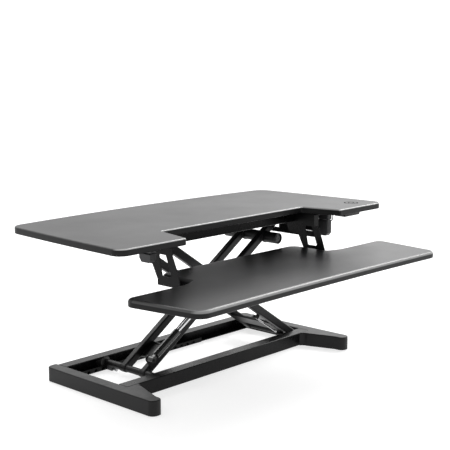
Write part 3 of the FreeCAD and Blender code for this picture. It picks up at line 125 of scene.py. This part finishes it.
@dataclass(frozen=True)
class PaintedEdgeHighlight:
    """Painted highlight and smoother finish on the round upper edges, told by the way the surface leans.

    Attributes:
        band: Steps of the painted highlight over the surface's upward lean, 0 on an upright face and 1 on a
            flat top.
        facing: Backward lean at which the painted highlight on the edges facing the user's side begins and
            is full.
        share: Share of the painted highlight away from the user's side and on it.
        roughness: Roughness of an edge under the full painted highlight.
    """

    band: Stops = ((0.10, 0.0), (0.30, 1.0), (0.93, 1.0), (0.985, 0.0))
    facing: tuple[float, float] = (-0.05, -0.45)
    share: tuple[float, float] = (0.1, 1.0)
    roughness: float = 0.2


DRIFT = Drift()
EDGE_HIGHLIGHT = PaintedEdgeHighlight()


def fill_ramp(ramp: bpy.types.Node, stops: Stops) -> None:
    """Set the grey steps of a colour ramp.

    Args:
        ramp: Colour ramp node.
        stops: Places from 0 to 1 in rising order, each with its level.
    """
    elements = ramp.color_ramp.elements
    elements[0].position, elements[1].position = stops[0][0], stops[-1][0]
    for at, _ in stops[1:-1]:
        elements.new(at)
    for element, (_, level) in zip(elements, stops):
        element.color = (level, level, level, 1.0)


def add_noise(tree: bpy.types.NodeTree, place: bpy.types.Node, size: float, detail: float,
              stretch: Axes = (1.0, 1.0, 1.0)) -> bpy.types.Node:
    """Add noise of one grain size in the piece's own space.

    Args:
        tree: Node tree to add to.
        place: Texture coordinate node.
        size: Width of one grain.
        detail: Octaves of the noise.
        stretch: Factors on the coordinates.

    Returns:
        The noise node.
    """
    mapping = tree.nodes.new("ShaderNodeMapping")
    mapping.inputs["Scale"].default_value = tuple(factor / size for factor in stretch)
    noise = tree.nodes.new("ShaderNodeTexNoise")
    noise.inputs["Scale"].default_value = 1.0
    noise.inputs["Detail"].default_value = detail
    noise.inputs["Roughness"].default_value = DRIFT.rough
    tree.links.new(place.outputs["Object"], mapping.inputs["Vector"])
    tree.links.new(mapping.outputs["Vector"], noise.inputs["Vector"])
    return noise


def add_range(tree: bpy.types.NodeTree, source: tuple[float, float],
              target: tuple[float, float]) -> bpy.types.Node:
    """Add a node that maps one range of values onto another.

    Args:
        tree: Node tree to add to.
        source: Ends of the range that goes in.
        target: Ends of the range that comes out.

    Returns:
        The mapping node.
    """
    span = tree.nodes.new("ShaderNodeMapRange")
    ends = ("From Min", "From Max", "To Min", "To Max")
    for end, value in zip(ends, (*source, *target)):
        span.inputs[end].default_value = value
    return span


def lay_over(tree: bpy.types.NodeTree, socket: bpy.types.NodeSocket, kind: str, share: bpy.types.Node,
             value: float | tuple[float, ...]) -> None:
    """Lay a fixed value over what already drives a socket, by a share that varies.

    Args:
        tree: Node tree to add to.
        socket: Linked socket of the shader.
        kind: Data type of the blend.
        share: Node whose value says how much of the fixed value shows.
        value: The fixed value.
    """
    kept = socket.links[0].from_socket
    blend = tree.nodes.new("ShaderNodeMix")
    blend.data_type = kind
    factor, under, over = (part for part in blend.inputs if part.enabled)
    tree.links.new(share.outputs["Value"], factor)
    tree.links.new(kept, under)
    over.default_value = value
    result = next(part for part in blend.outputs if part.enabled)
    tree.links.new(result, socket)


@dataclass(frozen=True)
class Finish:
    """One surface finish, made as a procedural material.

    Attributes:
        title: Name of the material.
        slot: Material slot of the record that the finish stands for.
        tone: Main colour.
        worn: Colour of the lighter, scuffed or dusty places.
        smooth: Roughness of the most polished places.
        dull: Roughness of the dullest places.
        grain: Kind of fine relief.
        metallic: Share of metal in the shader.
        coat: Weight of the clear coat.
        coat_dull: Roughness of the clear coat.
        gloss: Specular level of the shader.
        edge_highlight: Lightness of the painted highlight on the round upper edges, 0 for none.
        patch: Width of the broad patches where colour and roughness drift.
    """

    title: str
    slot: str
    tone: Colour
    worn: Colour
    smooth: float
    dull: float
    grain: Grain
    metallic: float = 0.0
    coat: float = 0.0
    coat_dull: float = 0.12
    gloss: float = 0.5
    edge_highlight: float = 0.0
    patch: float = 60 * MM

    def material(self) -> bpy.types.Material:
        """Return the finish's material, building it on first use.

        Returns:
            The material with its node tree.
        """
        known = bpy.data.materials.get(self.title)
        if known is not None:
            return known
        material = bpy.data.materials.new(self.title)
        material.use_nodes = True
        tree = material.node_tree
        shader = tree.nodes["Principled BSDF"]
        shader.inputs["Metallic"].default_value = self.metallic
        shader.inputs["Coat Weight"].default_value = self.coat
        shader.inputs["Coat Roughness"].default_value = self.coat_dull
        shader.inputs["Specular IOR Level"].default_value = self.gloss
        place = tree.nodes.new("ShaderNodeTexCoord")
        self._colour(tree, shader, place)
        self._roughness(tree, shader, place)
        self._bump(tree, shader, place)
        # Paint a lighter highlight band on the round upper edges where the finish asks for one.
        if self.edge_highlight:
            self._paint_edge_highlight(tree, shader, place)
        return material

    def _colour(self, tree: bpy.types.NodeTree, shader: bpy.types.Node, place: bpy.types.Node) -> None:
        """Drift the colour in broad patches and speckle it at the grain's scale.

        Args:
            tree: Node tree to add to.
            shader: The principled shader.
            place: Texture coordinate node.
        """
        relief = RELIEFS[self.grain]
        broad = add_noise(tree, place, self.patch, DRIFT.patch_detail)
        fine = add_noise(tree, place, relief.size * DRIFT.speckle, DRIFT.speckle_detail, relief.stretch)
        blend = tree.nodes.new("ShaderNodeMix")
        blend.data_type = "FLOAT"
        blend.inputs["Factor"].default_value = DRIFT.speckle_share
        tree.links.new(broad.outputs["Fac"], blend.inputs["A"])
        tree.links.new(fine.outputs["Fac"], blend.inputs["B"])
        ramp = tree.nodes.new("ShaderNodeValToRGB")
        for element, at, colour in zip(ramp.color_ramp.elements, DRIFT.colour_span, (self.tone, self.worn)):
            element.position = at
            element.color = (*colour, 1.0)
        tree.links.new(blend.outputs["Result"], ramp.inputs["Fac"])
        tree.links.new(ramp.outputs["Color"], shader.inputs["Base Color"])

    def _roughness(self, tree: bpy.types.NodeTree, shader: bpy.types.Node, place: bpy.types.Node) -> None:
        """Vary the roughness between the smooth and the dull value.

        Args:
            tree: Node tree to add to.
            shader: The principled shader.
            place: Texture coordinate node.
        """
        drift = add_noise(tree, place, self.patch * DRIFT.dull_patch, DRIFT.dull_detail)
        span = add_range(tree, DRIFT.dull_span, (self.smooth, self.dull))
        tree.links.new(drift.outputs["Fac"], span.inputs["Value"])
        tree.links.new(span.outputs["Result"], shader.inputs["Roughness"])

    def _paint_edge_highlight(self, tree: bpy.types.NodeTree, shader: bpy.types.Node, place: bpy.types.Node) -> None:
        """Paint a highlight on the round upper edges, strongest on those that face the user, and make those
        edges smoother.

        Args:
            tree: Node tree to add to.
            shader: The principled shader.
            place: Texture coordinate node.
        """
        lean = tree.nodes.new("ShaderNodeSeparateXYZ")
        tree.links.new(place.outputs["Normal"], lean.inputs["Vector"])
        rounded = tree.nodes.new("ShaderNodeValToRGB")
        fill_ramp(rounded, EDGE_HIGHLIGHT.band)
        forward = add_range(tree, EDGE_HIGHLIGHT.facing, EDGE_HIGHLIGHT.share)
        share = tree.nodes.new("ShaderNodeMath")
        share.operation = "MULTIPLY"
        tree.links.new(lean.outputs["Z"], rounded.inputs["Fac"])
        tree.links.new(lean.outputs["Y"], forward.inputs["Value"])
        tree.links.new(rounded.outputs["Color"], share.inputs[0])
        tree.links.new(forward.outputs["Result"], share.inputs[1])
        # Lightness of the painted highlight on the edges.
        light = (self.edge_highlight, self.edge_highlight, self.edge_highlight, 1.0)
        lay_over(tree, shader.inputs["Base Color"], "RGBA", share, light)
        lay_over(tree, shader.inputs["Roughness"], "FLOAT", share, EDGE_HIGHLIGHT.roughness)

    def _bump(self, tree: bpy.types.NodeTree, shader: bpy.types.Node, place: bpy.types.Node) -> None:
        """Raise the fine grain.

        Args:
            tree: Node tree to add to.
            shader: The principled shader.
            place: Texture coordinate node.
        """
        relief = RELIEFS[self.grain]
        grain = add_noise(tree, place, relief.size, relief.detail, relief.stretch)
        bump = tree.nodes.new("ShaderNodeBump")
        bump.inputs["Strength"].default_value = 1.0
        bump.inputs["Distance"].default_value = relief.depth
        tree.links.new(grain.outputs["Fac"], bump.inputs["Height"])
        tree.links.new(bump.outputs["Normal"], shader.inputs["Normal"])


# The deck and tray laminates carry a painted highlight on their round upper edges.
DECK_LAMINATE = Finish("black_deck_laminate", "deck_laminate", tone=(0.006, 0.006, 0.0063),
                       worn=(0.009, 0.009, 0.0094), smooth=0.34, dull=0.38, grain=Grain.LAMINATE,
                       gloss=0.17, edge_highlight=0.38, patch=260 * MM)
TRAY_LAMINATE = Finish("black_tray_laminate", "tray_laminate", tone=(0.005, 0.005, 0.0053),
                       worn=(0.008, 0.008, 0.0084), smooth=0.29, dull=0.33, grain=Grain.LAMINATE,
                       gloss=0.17, edge_highlight=0.22, patch=240 * MM)
ARM_COAT = Finish("satin_black_tube_coat", "frame_black", tone=(0.0035, 0.0035, 0.0037),
                  worn=(0.007, 0.007, 0.0073), smooth=0.34, dull=0.46, grain=Grain.POWDER, gloss=0.22)
RAIL_COAT = Finish("satin_black_rail_coat", "rail_black", tone=(0.0035, 0.0035, 0.0037),
                   worn=(0.0065, 0.0065, 0.0068), smooth=0.24, dull=0.34, grain=Grain.POWDER, gloss=0.12)
FOOT_COAT = Finish("satin_black_foot_coat", "foot_black", tone=(0.007, 0.007, 0.0073),
                   worn=(0.011, 0.011, 0.0115), smooth=0.32, dull=0.42, grain=Grain.CAST, gloss=0.2)
ZINC = Finish("zinc_plated_steel", "bare_steel", tone=(0.30, 0.30, 0.31), worn=(0.44, 0.44, 0.45),
              smooth=0.28, dull=0.42, grain=Grain.TURNED, metallic=1.0, patch=15 * MM)
BLACK_STEEL = Finish("blackened_bolt_steel", "bare_steel", tone=(0.030, 0.030, 0.031),
                     worn=(0.060, 0.060, 0.061), smooth=0.26, dull=0.38, grain=Grain.TURNED,
                     metallic=0.6, patch=15 * MM)
BRIGHT_ROD = Finish("bright_drawn_rod", "bare_steel", tone=(0.58, 0.58, 0.59), worn=(0.70, 0.70, 0.71),
                    smooth=0.20, dull=0.32, grain=Grain.DRAWN, metallic=1.0, patch=20 * MM)
CHROME = Finish("polished_spring_rod", "chrome_rod", tone=(0.74, 0.74, 0.75), worn=(0.84, 0.84, 0.85),
                smooth=0.08, dull=0.16, grain=Grain.DRAWN, metallic=1.0, patch=30 * MM)
ENAMEL = Finish("black_cylinder_enamel", "cylinder_black", tone=(0.008, 0.008, 0.008),
                worn=(0.014, 0.014, 0.014), smooth=0.20, dull=0.30, grain=Grain.ENAMEL, coat=0.3)
HANDLE_PLASTIC = Finish("moulded_grey_handle", "handle_plastic", tone=(0.026, 0.026, 0.028),
                        worn=(0.040, 0.040, 0.042), smooth=0.46, dull=0.58, grain=Grain.MOULDED,
                        gloss=0.45, patch=30 * MM)
NYLON = Finish("dark_nylon_roller", "roller_plastic", tone=(0.030, 0.030, 0.030),
               worn=(0.055, 0.055, 0.055), smooth=0.38, dull=0.52, grain=Grain.MOULDED, patch=12 * MM)
PAD_RUBBER = Finish("black_pad_rubber", "pad_rubber", tone=(0.014, 0.014, 0.014),
                    worn=(0.028, 0.028, 0.028), smooth=0.75, dull=0.92, grain=Grain.RUBBER, gloss=0.3,
                    patch=18 * MM)
RING_INK = Finish("dull_black_ring_print", "charger_plastic", tone=(0.004, 0.004, 0.004),
                  worn=(0.007, 0.007, 0.007), smooth=0.86, dull=0.94, grain=Grain.MOULDED, gloss=0.02,
                  patch=12 * MM)
CHARGER_PLASTIC = Finish("smooth_charger_plastic", "charger_plastic", tone=(0.008, 0.008, 0.009),
                         worn=(0.014, 0.014, 0.015), smooth=0.34, dull=0.46, grain=Grain.MOULDED,
                         gloss=0.25, patch=20 * MM)


@dataclass(frozen=True)
class Span:
    """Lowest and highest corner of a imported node."""

    low: Vector
    high: Vector

    @classmethod
    def of(cls, node: str) -> "Span":
        """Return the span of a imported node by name."""
        low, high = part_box(node)
        return cls(Vector(low), Vector(high))

    @property
    def centre(self) -> Vector:
        """Middle of the span."""
        return (self.low + self.high) / 2

    @property
    def size(self) -> Vector:
        """Lengths of the span along the three axes."""
        return self.high - self.low


def new_piece(name: str, shape: bmesh.types.BMesh, finish: Finish, body: str) -> None:
    """Turn a finished shape into a piece that rides on a body.

    Args:
        name: Name of the piece.
        shape: Its mesh, freed here.
        finish: Its surface finish.
        body: Body that it rides on.
    """
    bmesh.ops.recalc_face_normals(shape, faces=shape.faces)
    mesh = bpy.data.meshes.new(name)
    shape.to_mesh(mesh)
    shape.free()
    for polygon in mesh.polygons:
        polygon.use_smooth = True
    piece = bpy.data.objects.new(name, mesh)
    bpy.context.scene.collection.objects.link(piece)
    mesh.materials.append(finish.material())
    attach(piece, body)
    LOG.info("%s: %d faces on %s", name, len(mesh.polygons), body)


def add_ring(shape: bmesh.types.BMesh, centre: Vector, radius: float, bead: float, ripples: int = 0,
             swell: float = 0.22, steps: int = 48, sides: int = 10, axis: int = 1,
             flat: float = 1.0) -> None:
    """Add a closed ring, such as a weld bead or a raised rim.

    Args:
        shape: Mesh to add to.
        centre: Middle of the ring.
        radius: Radius of the ring's centre line.
        bead: Radius of its section.
        ripples: Number of swellings along the ring, as in a weld.
        swell: Height of a swelling as a share of the section's radius.
        steps: Corners along the ring.
        sides: Corners of its section.
        axis: Index of the axis that the ring lies round.
        flat: Height of the section as a share of its width.
    """
    across = [index for index in range(3) if index != axis]
    loops = []
    for step in range(steps):
        turn = math.tau * step / steps
        thick = bead * (1.0 + swell * math.sin(ripples * turn))
        loop = []
        for side in range(sides):
            lean = math.tau * side / sides
            reach = radius + thick * math.cos(lean)
            point = Vector(centre)
            point[across[0]] += reach * math.cos(turn)
            point[across[1]] += reach * math.sin(turn)
            point[axis] += thick * math.sin(lean) * flat
            loop.append(shape.verts.new(point))
        loops.append(loop)
    for step in range(steps):
        here, there = loops[step], loops[(step + 1) % steps]
        for side in range(sides):
            after = (side + 1) % sides
            shape.faces.new((here[side], there[side], there[after], here[after]))


def add_rod(shape: bmesh.types.BMesh, start: Vector, end: Vector, radius: float, sides: int = 12,
            rings: int = 4) -> None:
    """Add a level rod with rounded ends.

    Args:
        shape: Mesh to add to.
        start: Centre of the first end.
        end: Centre of the second end, as high as the first.
        radius: Radius of the rod.
        sides: Corners round the rod.
        rings: Steps of each rounded end.
    """
    along = (end - start).normalized()
    side = along.cross(Vector((0.0, 0.0, 1.0))).normalized()
    up = side.cross(along)
    turns = [math.pi / 2 * ring / rings for ring in range(rings + 1)]
    stations = [(start, -math.cos(turn), math.sin(turn)) for turn in turns[1:]]
    stations += [(end, math.sin(turn), math.cos(turn)) for turn in turns[:-1]]
    loops = []
    for centre, reach, share in stations:
        loop = []
        for corner in range(sides):
            lean = math.tau * corner / sides
            offset = side * math.cos(lean) + up * math.sin(lean)
            loop.append(shape.verts.new(centre + along * (radius * reach) + offset * (radius * share)))
        loops.append(loop)
    for here, there in zip(loops, loops[1:]):
        for corner in range(sides):
            after = (corner + 1) % sides
            shape.faces.new((here[corner], there[corner], there[after], here[after]))
    shape.faces.new(list(reversed(loops[0])))
    shape.faces.new(loops[-1])


@dataclass
class SubAssembly:
    """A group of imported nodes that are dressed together.

    Attributes:
        finishes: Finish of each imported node.
        edge: Width of a softened edge.
        edge_steps: Faces across a softened edge.
        edge_turn: Least turn between two faces whose edge is softened, in degrees.
    """

    finishes: dict[str, Finish] = field(default_factory=dict)
    edge: float = 0.6 * MM
    edge_steps: int = 2
    edge_turn: float = 40.0

    def dress(self) -> None:
        """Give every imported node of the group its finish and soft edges."""
        for name, finish in self.finishes.items():
            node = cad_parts[name]
            for slot in node.material_slots:
                slot.material = finish.material()
            bevel = node.modifiers.new("soft_edge", "BEVEL")
            bevel.width = self.edge
            bevel.segments = self.edge_steps
            bevel.limit_method = "ANGLE"
            bevel.angle_limit = math.radians(self.edge_turn)
            bevel.harden_normals = True
            LOG.info("%s: %s", name, finish.title)

    def build(self) -> None:
        """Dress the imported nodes; a group with pieces of its own adds them too."""
        self.dress()


@dataclass
class Base(SubAssembly):
    """The frame that stands on the desk: two channel rails between two splayed feet."""

    finishes: dict[str, Finish] = field(default_factory=lambda: {
        "base_front_rail": RAIL_COAT, "base_rear_rail": RAIL_COAT, "left_foot": FOOT_COAT,
        "right_foot": FOOT_COAT, "rubber_feet": PAD_RUBBER, "foot_screws": ZINC, "lock_rack": RAIL_COAT,
        "lower_hinge_axle": BLACK_STEEL})


@dataclass
class ScissorArm(SubAssembly):
    """One of the two crossing arms, with weld beads where its cross bars pass through its tubes.

    Attributes:
        body: Body that the arm forms.
        tubes: The arm's two long tubes.
        bars: The cross bars that the tubes are welded to.
        bead: Radius of a weld bead.
        bead_lift: Height of a bead's middle over its bar, as a share of the bead's radius.
        ripples: Swellings along one bead.
    """

    body: str = "outer_arm"
    tubes: tuple[str, ...] = ()
    bars: tuple[str, ...] = ()
    bead: float = 1.3 * MM
    bead_lift: float = 0.3
    ripples: int = 20

    def build(self) -> None:
        """Dress the arm and lay its weld beads."""
        self.dress()
        shape = bmesh.new()
        for bar in self.bars:
            bar_span = Span.of(bar)
            radius = bar_span.size.x / 2 + self.bead * self.bead_lift
            for tube in self.tubes:
                tube_span = Span.of(tube)
                for face in (tube_span.low.y, tube_span.high.y):
                    if bar_span.low.y + self.bead < face < bar_span.high.y - self.bead:
                        centre = Vector((bar_span.centre.x, face, bar_span.centre.z))
                        add_ring(shape, centre, radius, self.bead, self.ripples)
        new_piece(f"{self.body}_welds", shape, ARM_COAT, self.body)


def outer_arm() -> ScissorArm:
    """Describe the wide arm, hinged low at the right and rolling high at the left.

    Returns:
        The arm, not yet built.
    """
    tubes = ("outer_front_tube", "outer_rear_tube")
    bars = ("outer_lower_bush", "outer_upper_bar")
    painted = (*tubes, *bars, "outer_brace", "pull_rod_guides", "outer_spring_mount")
    blackened = ("upper_roller_axle", "centre_pivot_bolts", "centre_pivot_spacers")
    finishes = {name: ARM_COAT for name in painted} | {name: BLACK_STEEL for name in blackened}
    finishes["lock_pull_rod"] = BRIGHT_ROD
    return ScissorArm(finishes, body="outer_arm", tubes=tubes, bars=bars)


def inner_arm() -> ScissorArm:
    """Describe the narrow arm, rolling low at the left and hinged high at the right.

    Returns:
        The arm, not yet built.
    """
    tubes = ("inner_front_tube", "inner_rear_tube")
    bars = ("inner_lower_bar", "inner_upper_bush", "inner_torque_tube")
    painted = (*tubes, *bars, "inner_brace", "inner_spring_mount")
    blackened = ("lower_roller_axle", "torque_tube_plugs")
    finishes = {name: ARM_COAT for name in painted} | {name: BLACK_STEEL for name in blackened}
    finishes["lock_pin_guide"] = HANDLE_PLASTIC
    return ScissorArm(finishes, body="inner_arm", tubes=tubes, bars=bars)


@dataclass
class Deck(SubAssembly):
    """The deck board with the frame under it and the small parts let into it or hung from it.

    Attributes:
        body: Body that carries the rings.
        rim: Half the width of a dark ring on the charging pad.
        rim_inset: Distance of the outer ring's middle from the pad's edge.
        rim_flat: Height of a ring's section as a share of its width.
        rim_sunk: Depth of the rings' middle under the pad's top.
        rim_steps: Corners along a ring.
        inner_rim: Radius of the inner ring as a share of the outer one's.
    """

    body: str = "deck"
    finishes: dict[str, Finish] = field(default_factory=lambda: {
        "deck_board": DECK_LAMINATE, "upper_front_rail": RAIL_COAT, "upper_rear_rail": RAIL_COAT,
        "upper_left_member": RAIL_COAT, "upper_right_member": RAIL_COAT, "upper_hinge_axle": BLACK_STEEL,
        "rail_screws": ZINC, "charging_pad": DECK_LAMINATE, "power_module": CHARGER_PLASTIC,
        "wire_hook": BLACK_STEEL})
    rim: float = 1.9 * MM
    rim_inset: float = 2.1 * MM
    rim_flat: float = 0.05
    rim_sunk: float = 0.02 * MM
    rim_steps: int = 64
    inner_rim: float = 0.42

    def build(self) -> None:
        """Dress the deck and inlay the two dark rings of the charging pad."""
        self.dress()
        pad = Span.of("charging_pad")
        centre = Vector((pad.centre.x, pad.centre.y, pad.high.z - self.rim_sunk))
        shape = bmesh.new()
        outer = pad.size.x / 2 - self.rim_inset
        for radius in (outer, outer * self.inner_rim):
            add_ring(shape, centre, radius, self.rim, steps=self.rim_steps, axis=2, flat=self.rim_flat)
        new_piece("charging_pad_rings", shape, RING_INK, self.body)


@dataclass
class TrayCarrier(SubAssembly):
    """The keyboard tray, the two bent brackets that hang it and the linkage's side plate.

    Attributes:
        body: Body that carries the wire and its clips.
        sheet: Thickness of the side plate's sheet.
        wire: Radius of the release wire that runs past the side plate's slot.
        wire_drop: Depth of the wire under the top of the side plate.
        wire_reach: Distances of the wire's start and end from the plate's front edge.
        clip: Radius of a clip's section.
        clip_inset: Distance of a clip from the wire's nearer end.
        clip_steps: Corners along a clip.
    """

    body: str = "deck"
    finishes: dict[str, Finish] = field(default_factory=lambda: {
        "keyboard_tray": TRAY_LAMINATE, "left_tray_bracket": RAIL_COAT, "right_tray_bracket": RAIL_COAT,
        "release_side_plate": RAIL_COAT, "bracket_screws": ZINC, "tray_screws": ZINC})
    sheet: float = 2.5 * MM
    wire: float = 1.5 * MM
    wire_drop: float = 55.7 * MM
    wire_reach: tuple[float, float] = (9 * MM, 56 * MM)
    clip: float = 0.8 * MM
    clip_inset: float = 2.5 * MM
    clip_steps: int = 24

    def build(self) -> None:
        """Dress the carrier and clip the release wire to the outer face of the side plate."""
        self.dress()
        plate = Span.of("release_side_plate")
        beside = plate.low.x + self.sheet + self.wire
        height = plate.high.z - self.wire_drop
        start, end = (Vector((beside, plate.low.y + reach, height)) for reach in self.wire_reach)
        shape = bmesh.new()
        add_rod(shape, start, end, self.wire)
        new_piece("release_wire", shape, BRIGHT_ROD, self.body)
        clips = bmesh.new()
        inset = Vector((0.0, self.clip_inset, 0.0))
        for place in (start + inset, end - inset):
            add_ring(clips, place, self.wire, self.clip, steps=self.clip_steps)
        new_piece("release_wire_clips", clips, BLACK_STEEL, self.body)


@dataclass
class Rollers(SubAssembly):
    """The four nylon rollers, each on a body of its own."""

    finishes: dict[str, Finish] = field(default_factory=lambda: {
        f"{depth}_{height}_roller": NYLON for depth in ("front", "rear") for height in ("lower", "upper")})


@dataclass
class GasSpring(SubAssembly):
    """The gas spring: a cylinder that turns on the inner arm and a rod that turns on the outer one."""

    finishes: dict[str, Finish] = field(default_factory=lambda: {
        "spring_cylinder": ENAMEL, "spring_rod": CHROME})
    edge: float = 0.4 * MM


@dataclass
class ReleaseLevers(SubAssembly):
    """The two squeeze levers with their housings, and grip ribs on each lever's front face.

    Attributes:
        rib: Radius of a rib.
        rib_sunk: Depth of a rib's middle behind the lever's face, as a share of the rib's radius.
        rib_margin: Distance of a rib's ends, before their rounding, from the lever's sides.
        rib_pitch: Distance between ribs.
        rib_start: Height of the lowest rib above the lever's tip.
        rib_stop: Distance of the highest rib below the housing.
    """

    finishes: dict[str, Finish] = field(default_factory=lambda: {
        "lever_pins": ZINC, "lock_pin": ZINC, "left_release_lever": HANDLE_PLASTIC,
        "left_lever_housing": HANDLE_PLASTIC, "right_release_lever": HANDLE_PLASTIC,
        "right_lever_housing": HANDLE_PLASTIC})
    rib: float = 0.9 * MM
    rib_sunk: float = 0.3
    rib_margin: float = 3.5 * MM
    rib_pitch: float = 4.2 * MM
    rib_start: float = 10 * MM
    rib_stop: float = 6 * MM

    def build(self) -> None:
        """Dress the levers and add their ribs."""
        self.dress()
        for side in ("left", "right"):
            self._add_ribs(side)

    def _add_ribs(self, side: str) -> None:
        """Add the grip ribs of one lever.

        Args:
            side: Side of the lever.
        """
        lever = Span.of(f"{side}_release_lever")
        half = lever.size.x / 2 - self.rib_margin
        face = lever.low.y + self.rib * self.rib_sunk
        low = lever.low.z + self.rib_start
        high = Span.of(f"{side}_lever_housing").low.z - self.rib_stop
        shape = bmesh.new()
        for step in range(int((high - low) / self.rib_pitch) + 1):
            height = low + step * self.rib_pitch
            start = Vector((lever.centre.x - half, face, height))
            end = Vector((lever.centre.x + half, face, height))
            add_rod(shape, start, end, self.rib)
        new_piece(f"{side}_lever_ribs", shape, HANDLE_PLASTIC, f"{side}_lever")


@dataclass(frozen=True)
class SoftBox:
    """One rectangular area light.

    Attributes:
        name: Name of the light.
        place: Where it hangs.
        aim: Point that it faces.
        size: Its width and its height.
        power: Its power in watts.
    """

    name: str
    place: Axes
    aim: Axes
    size: tuple[float, float]
    power: float

    def hang(self) -> None:
        """Put the light in its place and turn it to its aim."""
        light = bpy.data.lights.new(self.name, "AREA")
        light.shape = "RECTANGLE"
        light.size, light.size_y = self.size
        light.energy = self.power
        holder = bpy.data.objects.new(self.name, light)
        holder.location = self.place
        holder.rotation_euler = (Vector(self.aim) - Vector(self.place)).to_track_quat("-Z", "Y").to_euler()
        bpy.context.scene.collection.objects.link(holder)


@dataclass
class Studio:
    """Plain pale floor, soft light and the camera.

    Attributes:
        eye: Place of the camera.
        heading: Direction that the camera looks in, from +Y towards +X, in degrees.
        dip: Angle that it looks down by, in degrees.
        lens: Focal length on the sensor, in millimetres.
        sensor: Width of the sensor, in millimetres.
        far: Farthest distance that the camera shows.
        bright_side: Turn about +Z that puts the sky's bright side at the right, in degrees.
        sky_strength: Strength of a white sky, above that of each of its steps.
        sky: Steps of the sky from its dim side to its bright one: places from 0 to 1 with their strengths.
        soft_boxes: Lights above, at the right and behind.
        floor_reach: Distance of the floor's sides from its middle.
        floor_drop: Depth of the floor under the pads.
        floor_tone: Lightness of the floor.
        floor_dull: Roughness of the floor.
        floor_glow: Strength of the floor's own white light.
    """

    eye: Axes = (-1.9668, -1.79635, 0.8492)
    heading: float = 47.176
    dip: float = 9.466
    lens: float = 81.35
    sensor: float = 36.0
    far: float = 50.0
    bright_side: float = -10.0
    sky_strength: float = 2.2
    sky: Stops = ((0.0, 0.82), (0.45, 0.88), (0.82, 1.1), (0.97, 1.95), (1.0, 2.15))
    soft_boxes: tuple[SoftBox, ...] = (
        SoftBox("top_soft_box", (0.2, 0.8, 2.6), (0.0, 0.1, 0.3), (1.8, 1.8), 30.0),
        SoftBox("right_soft_box", (2.6, 0.3, 2.6), (-0.2, 0.0, 0.4), (3.0, 1.4), 100.0),
        SoftBox("rear_soft_box", (0.2, 2.4, 2.6), (-0.2, 0.0, 0.4), (1.8, 1.0), 24.0))
    floor_reach: float = 12.0
    floor_drop: float = 0.2 * MM
    floor_tone: float = 0.4
    floor_dull: float = 0.85
    floor_glow: float = 0.72

    def build(self) -> None:
        """Make the floor, the surroundings, the lights and the camera."""
        self._floor()
        self._surroundings()
        for soft_box in self.soft_boxes:
            soft_box.hang()
            LOG.info("%s: %g W", soft_box.name, soft_box.power)
        self._camera()

    def _floor(self) -> None:
        """Lay a pale floor that runs far past the object."""
        shape = bmesh.new()
        bmesh.ops.create_grid(shape, x_segments=1, y_segments=1, size=self.floor_reach)
        mesh = bpy.data.meshes.new("studio_floor")
        shape.to_mesh(mesh)
        shape.free()
        floor = bpy.data.objects.new("studio_floor", mesh)
        bpy.context.scene.collection.objects.link(floor)
        floor.location.z = -self.floor_drop
        material = bpy.data.materials.new("pale_studio_floor")
        material.use_nodes = True
        shader = material.node_tree.nodes["Principled BSDF"]
        shader.inputs["Base Color"].default_value = (self.floor_tone, self.floor_tone, self.floor_tone, 1.0)
        shader.inputs["Roughness"].default_value = self.floor_dull
        shader.inputs["Emission Color"].default_value = (1.0, 1.0, 1.0, 1.0)
        shader.inputs["Emission Strength"].default_value = self.floor_glow
        mesh.materials.append(material)

    def _surroundings(self) -> None:
        """Light the whole scene softly from a pale sky that is brightest behind the right end."""
        world = bpy.data.worlds.new("studio_surroundings")
        world.use_nodes = True
        tree = world.node_tree
        place = tree.nodes.new("ShaderNodeTexCoord")
        turn = tree.nodes.new("ShaderNodeMapping")
        turn.inputs["Rotation"].default_value = (0.0, 0.0, math.radians(self.bright_side))
        # Directions run from -1 to 1, and the steps of the sky from 0 to 1.
        turn.inputs["Location"].default_value = (0.5, 0.0, 0.0)
        turn.inputs["Scale"].default_value = (0.5, 0.5, 0.5)
        slope = tree.nodes.new("ShaderNodeTexGradient")
        ramp = tree.nodes.new("ShaderNodeValToRGB")
        fill_ramp(ramp, tuple((at, level / self.sky_strength) for at, level in self.sky))
        background = tree.nodes["Background"]
        background.inputs["Strength"].default_value = self.sky_strength
        tree.links.new(place.outputs["Generated"], turn.inputs["Vector"])
        tree.links.new(turn.outputs["Vector"], slope.inputs["Vector"])
        tree.links.new(slope.outputs["Fac"], ramp.inputs["Fac"])
        tree.links.new(ramp.outputs["Color"], background.inputs["Color"])
        bpy.context.scene.world = world
        bpy.context.scene.view_settings.view_transform = "Standard"

    def _camera(self) -> None:
        """Place the camera and make it the scene's own."""
        camera = bpy.data.cameras.new("camera")
        camera.lens = self.lens
        camera.sensor_width = self.sensor
        camera.clip_end = self.far
        holder = bpy.data.objects.new("camera", camera)
        holder.location = self.eye
        holder.rotation_euler = Euler((math.radians(90 - self.dip), 0.0, -math.radians(self.heading)))
        bpy.context.scene.collection.objects.link(holder)
        bpy.context.scene.camera = holder


def main() -> None:
    """Build the studio and every sub-assembly in order."""
    logging.basicConfig(level=logging.INFO, format="%(message)s")
    Studio().build()
    groups = [Base(), outer_arm(), inner_arm(), Deck(), TrayCarrier(), Rollers(), GasSpring(),
              ReleaseLevers()]
    for group in groups:
        group.build()
        LOG.info("built %s", type(group).__name__)


if __name__ == "__main__":
    main()
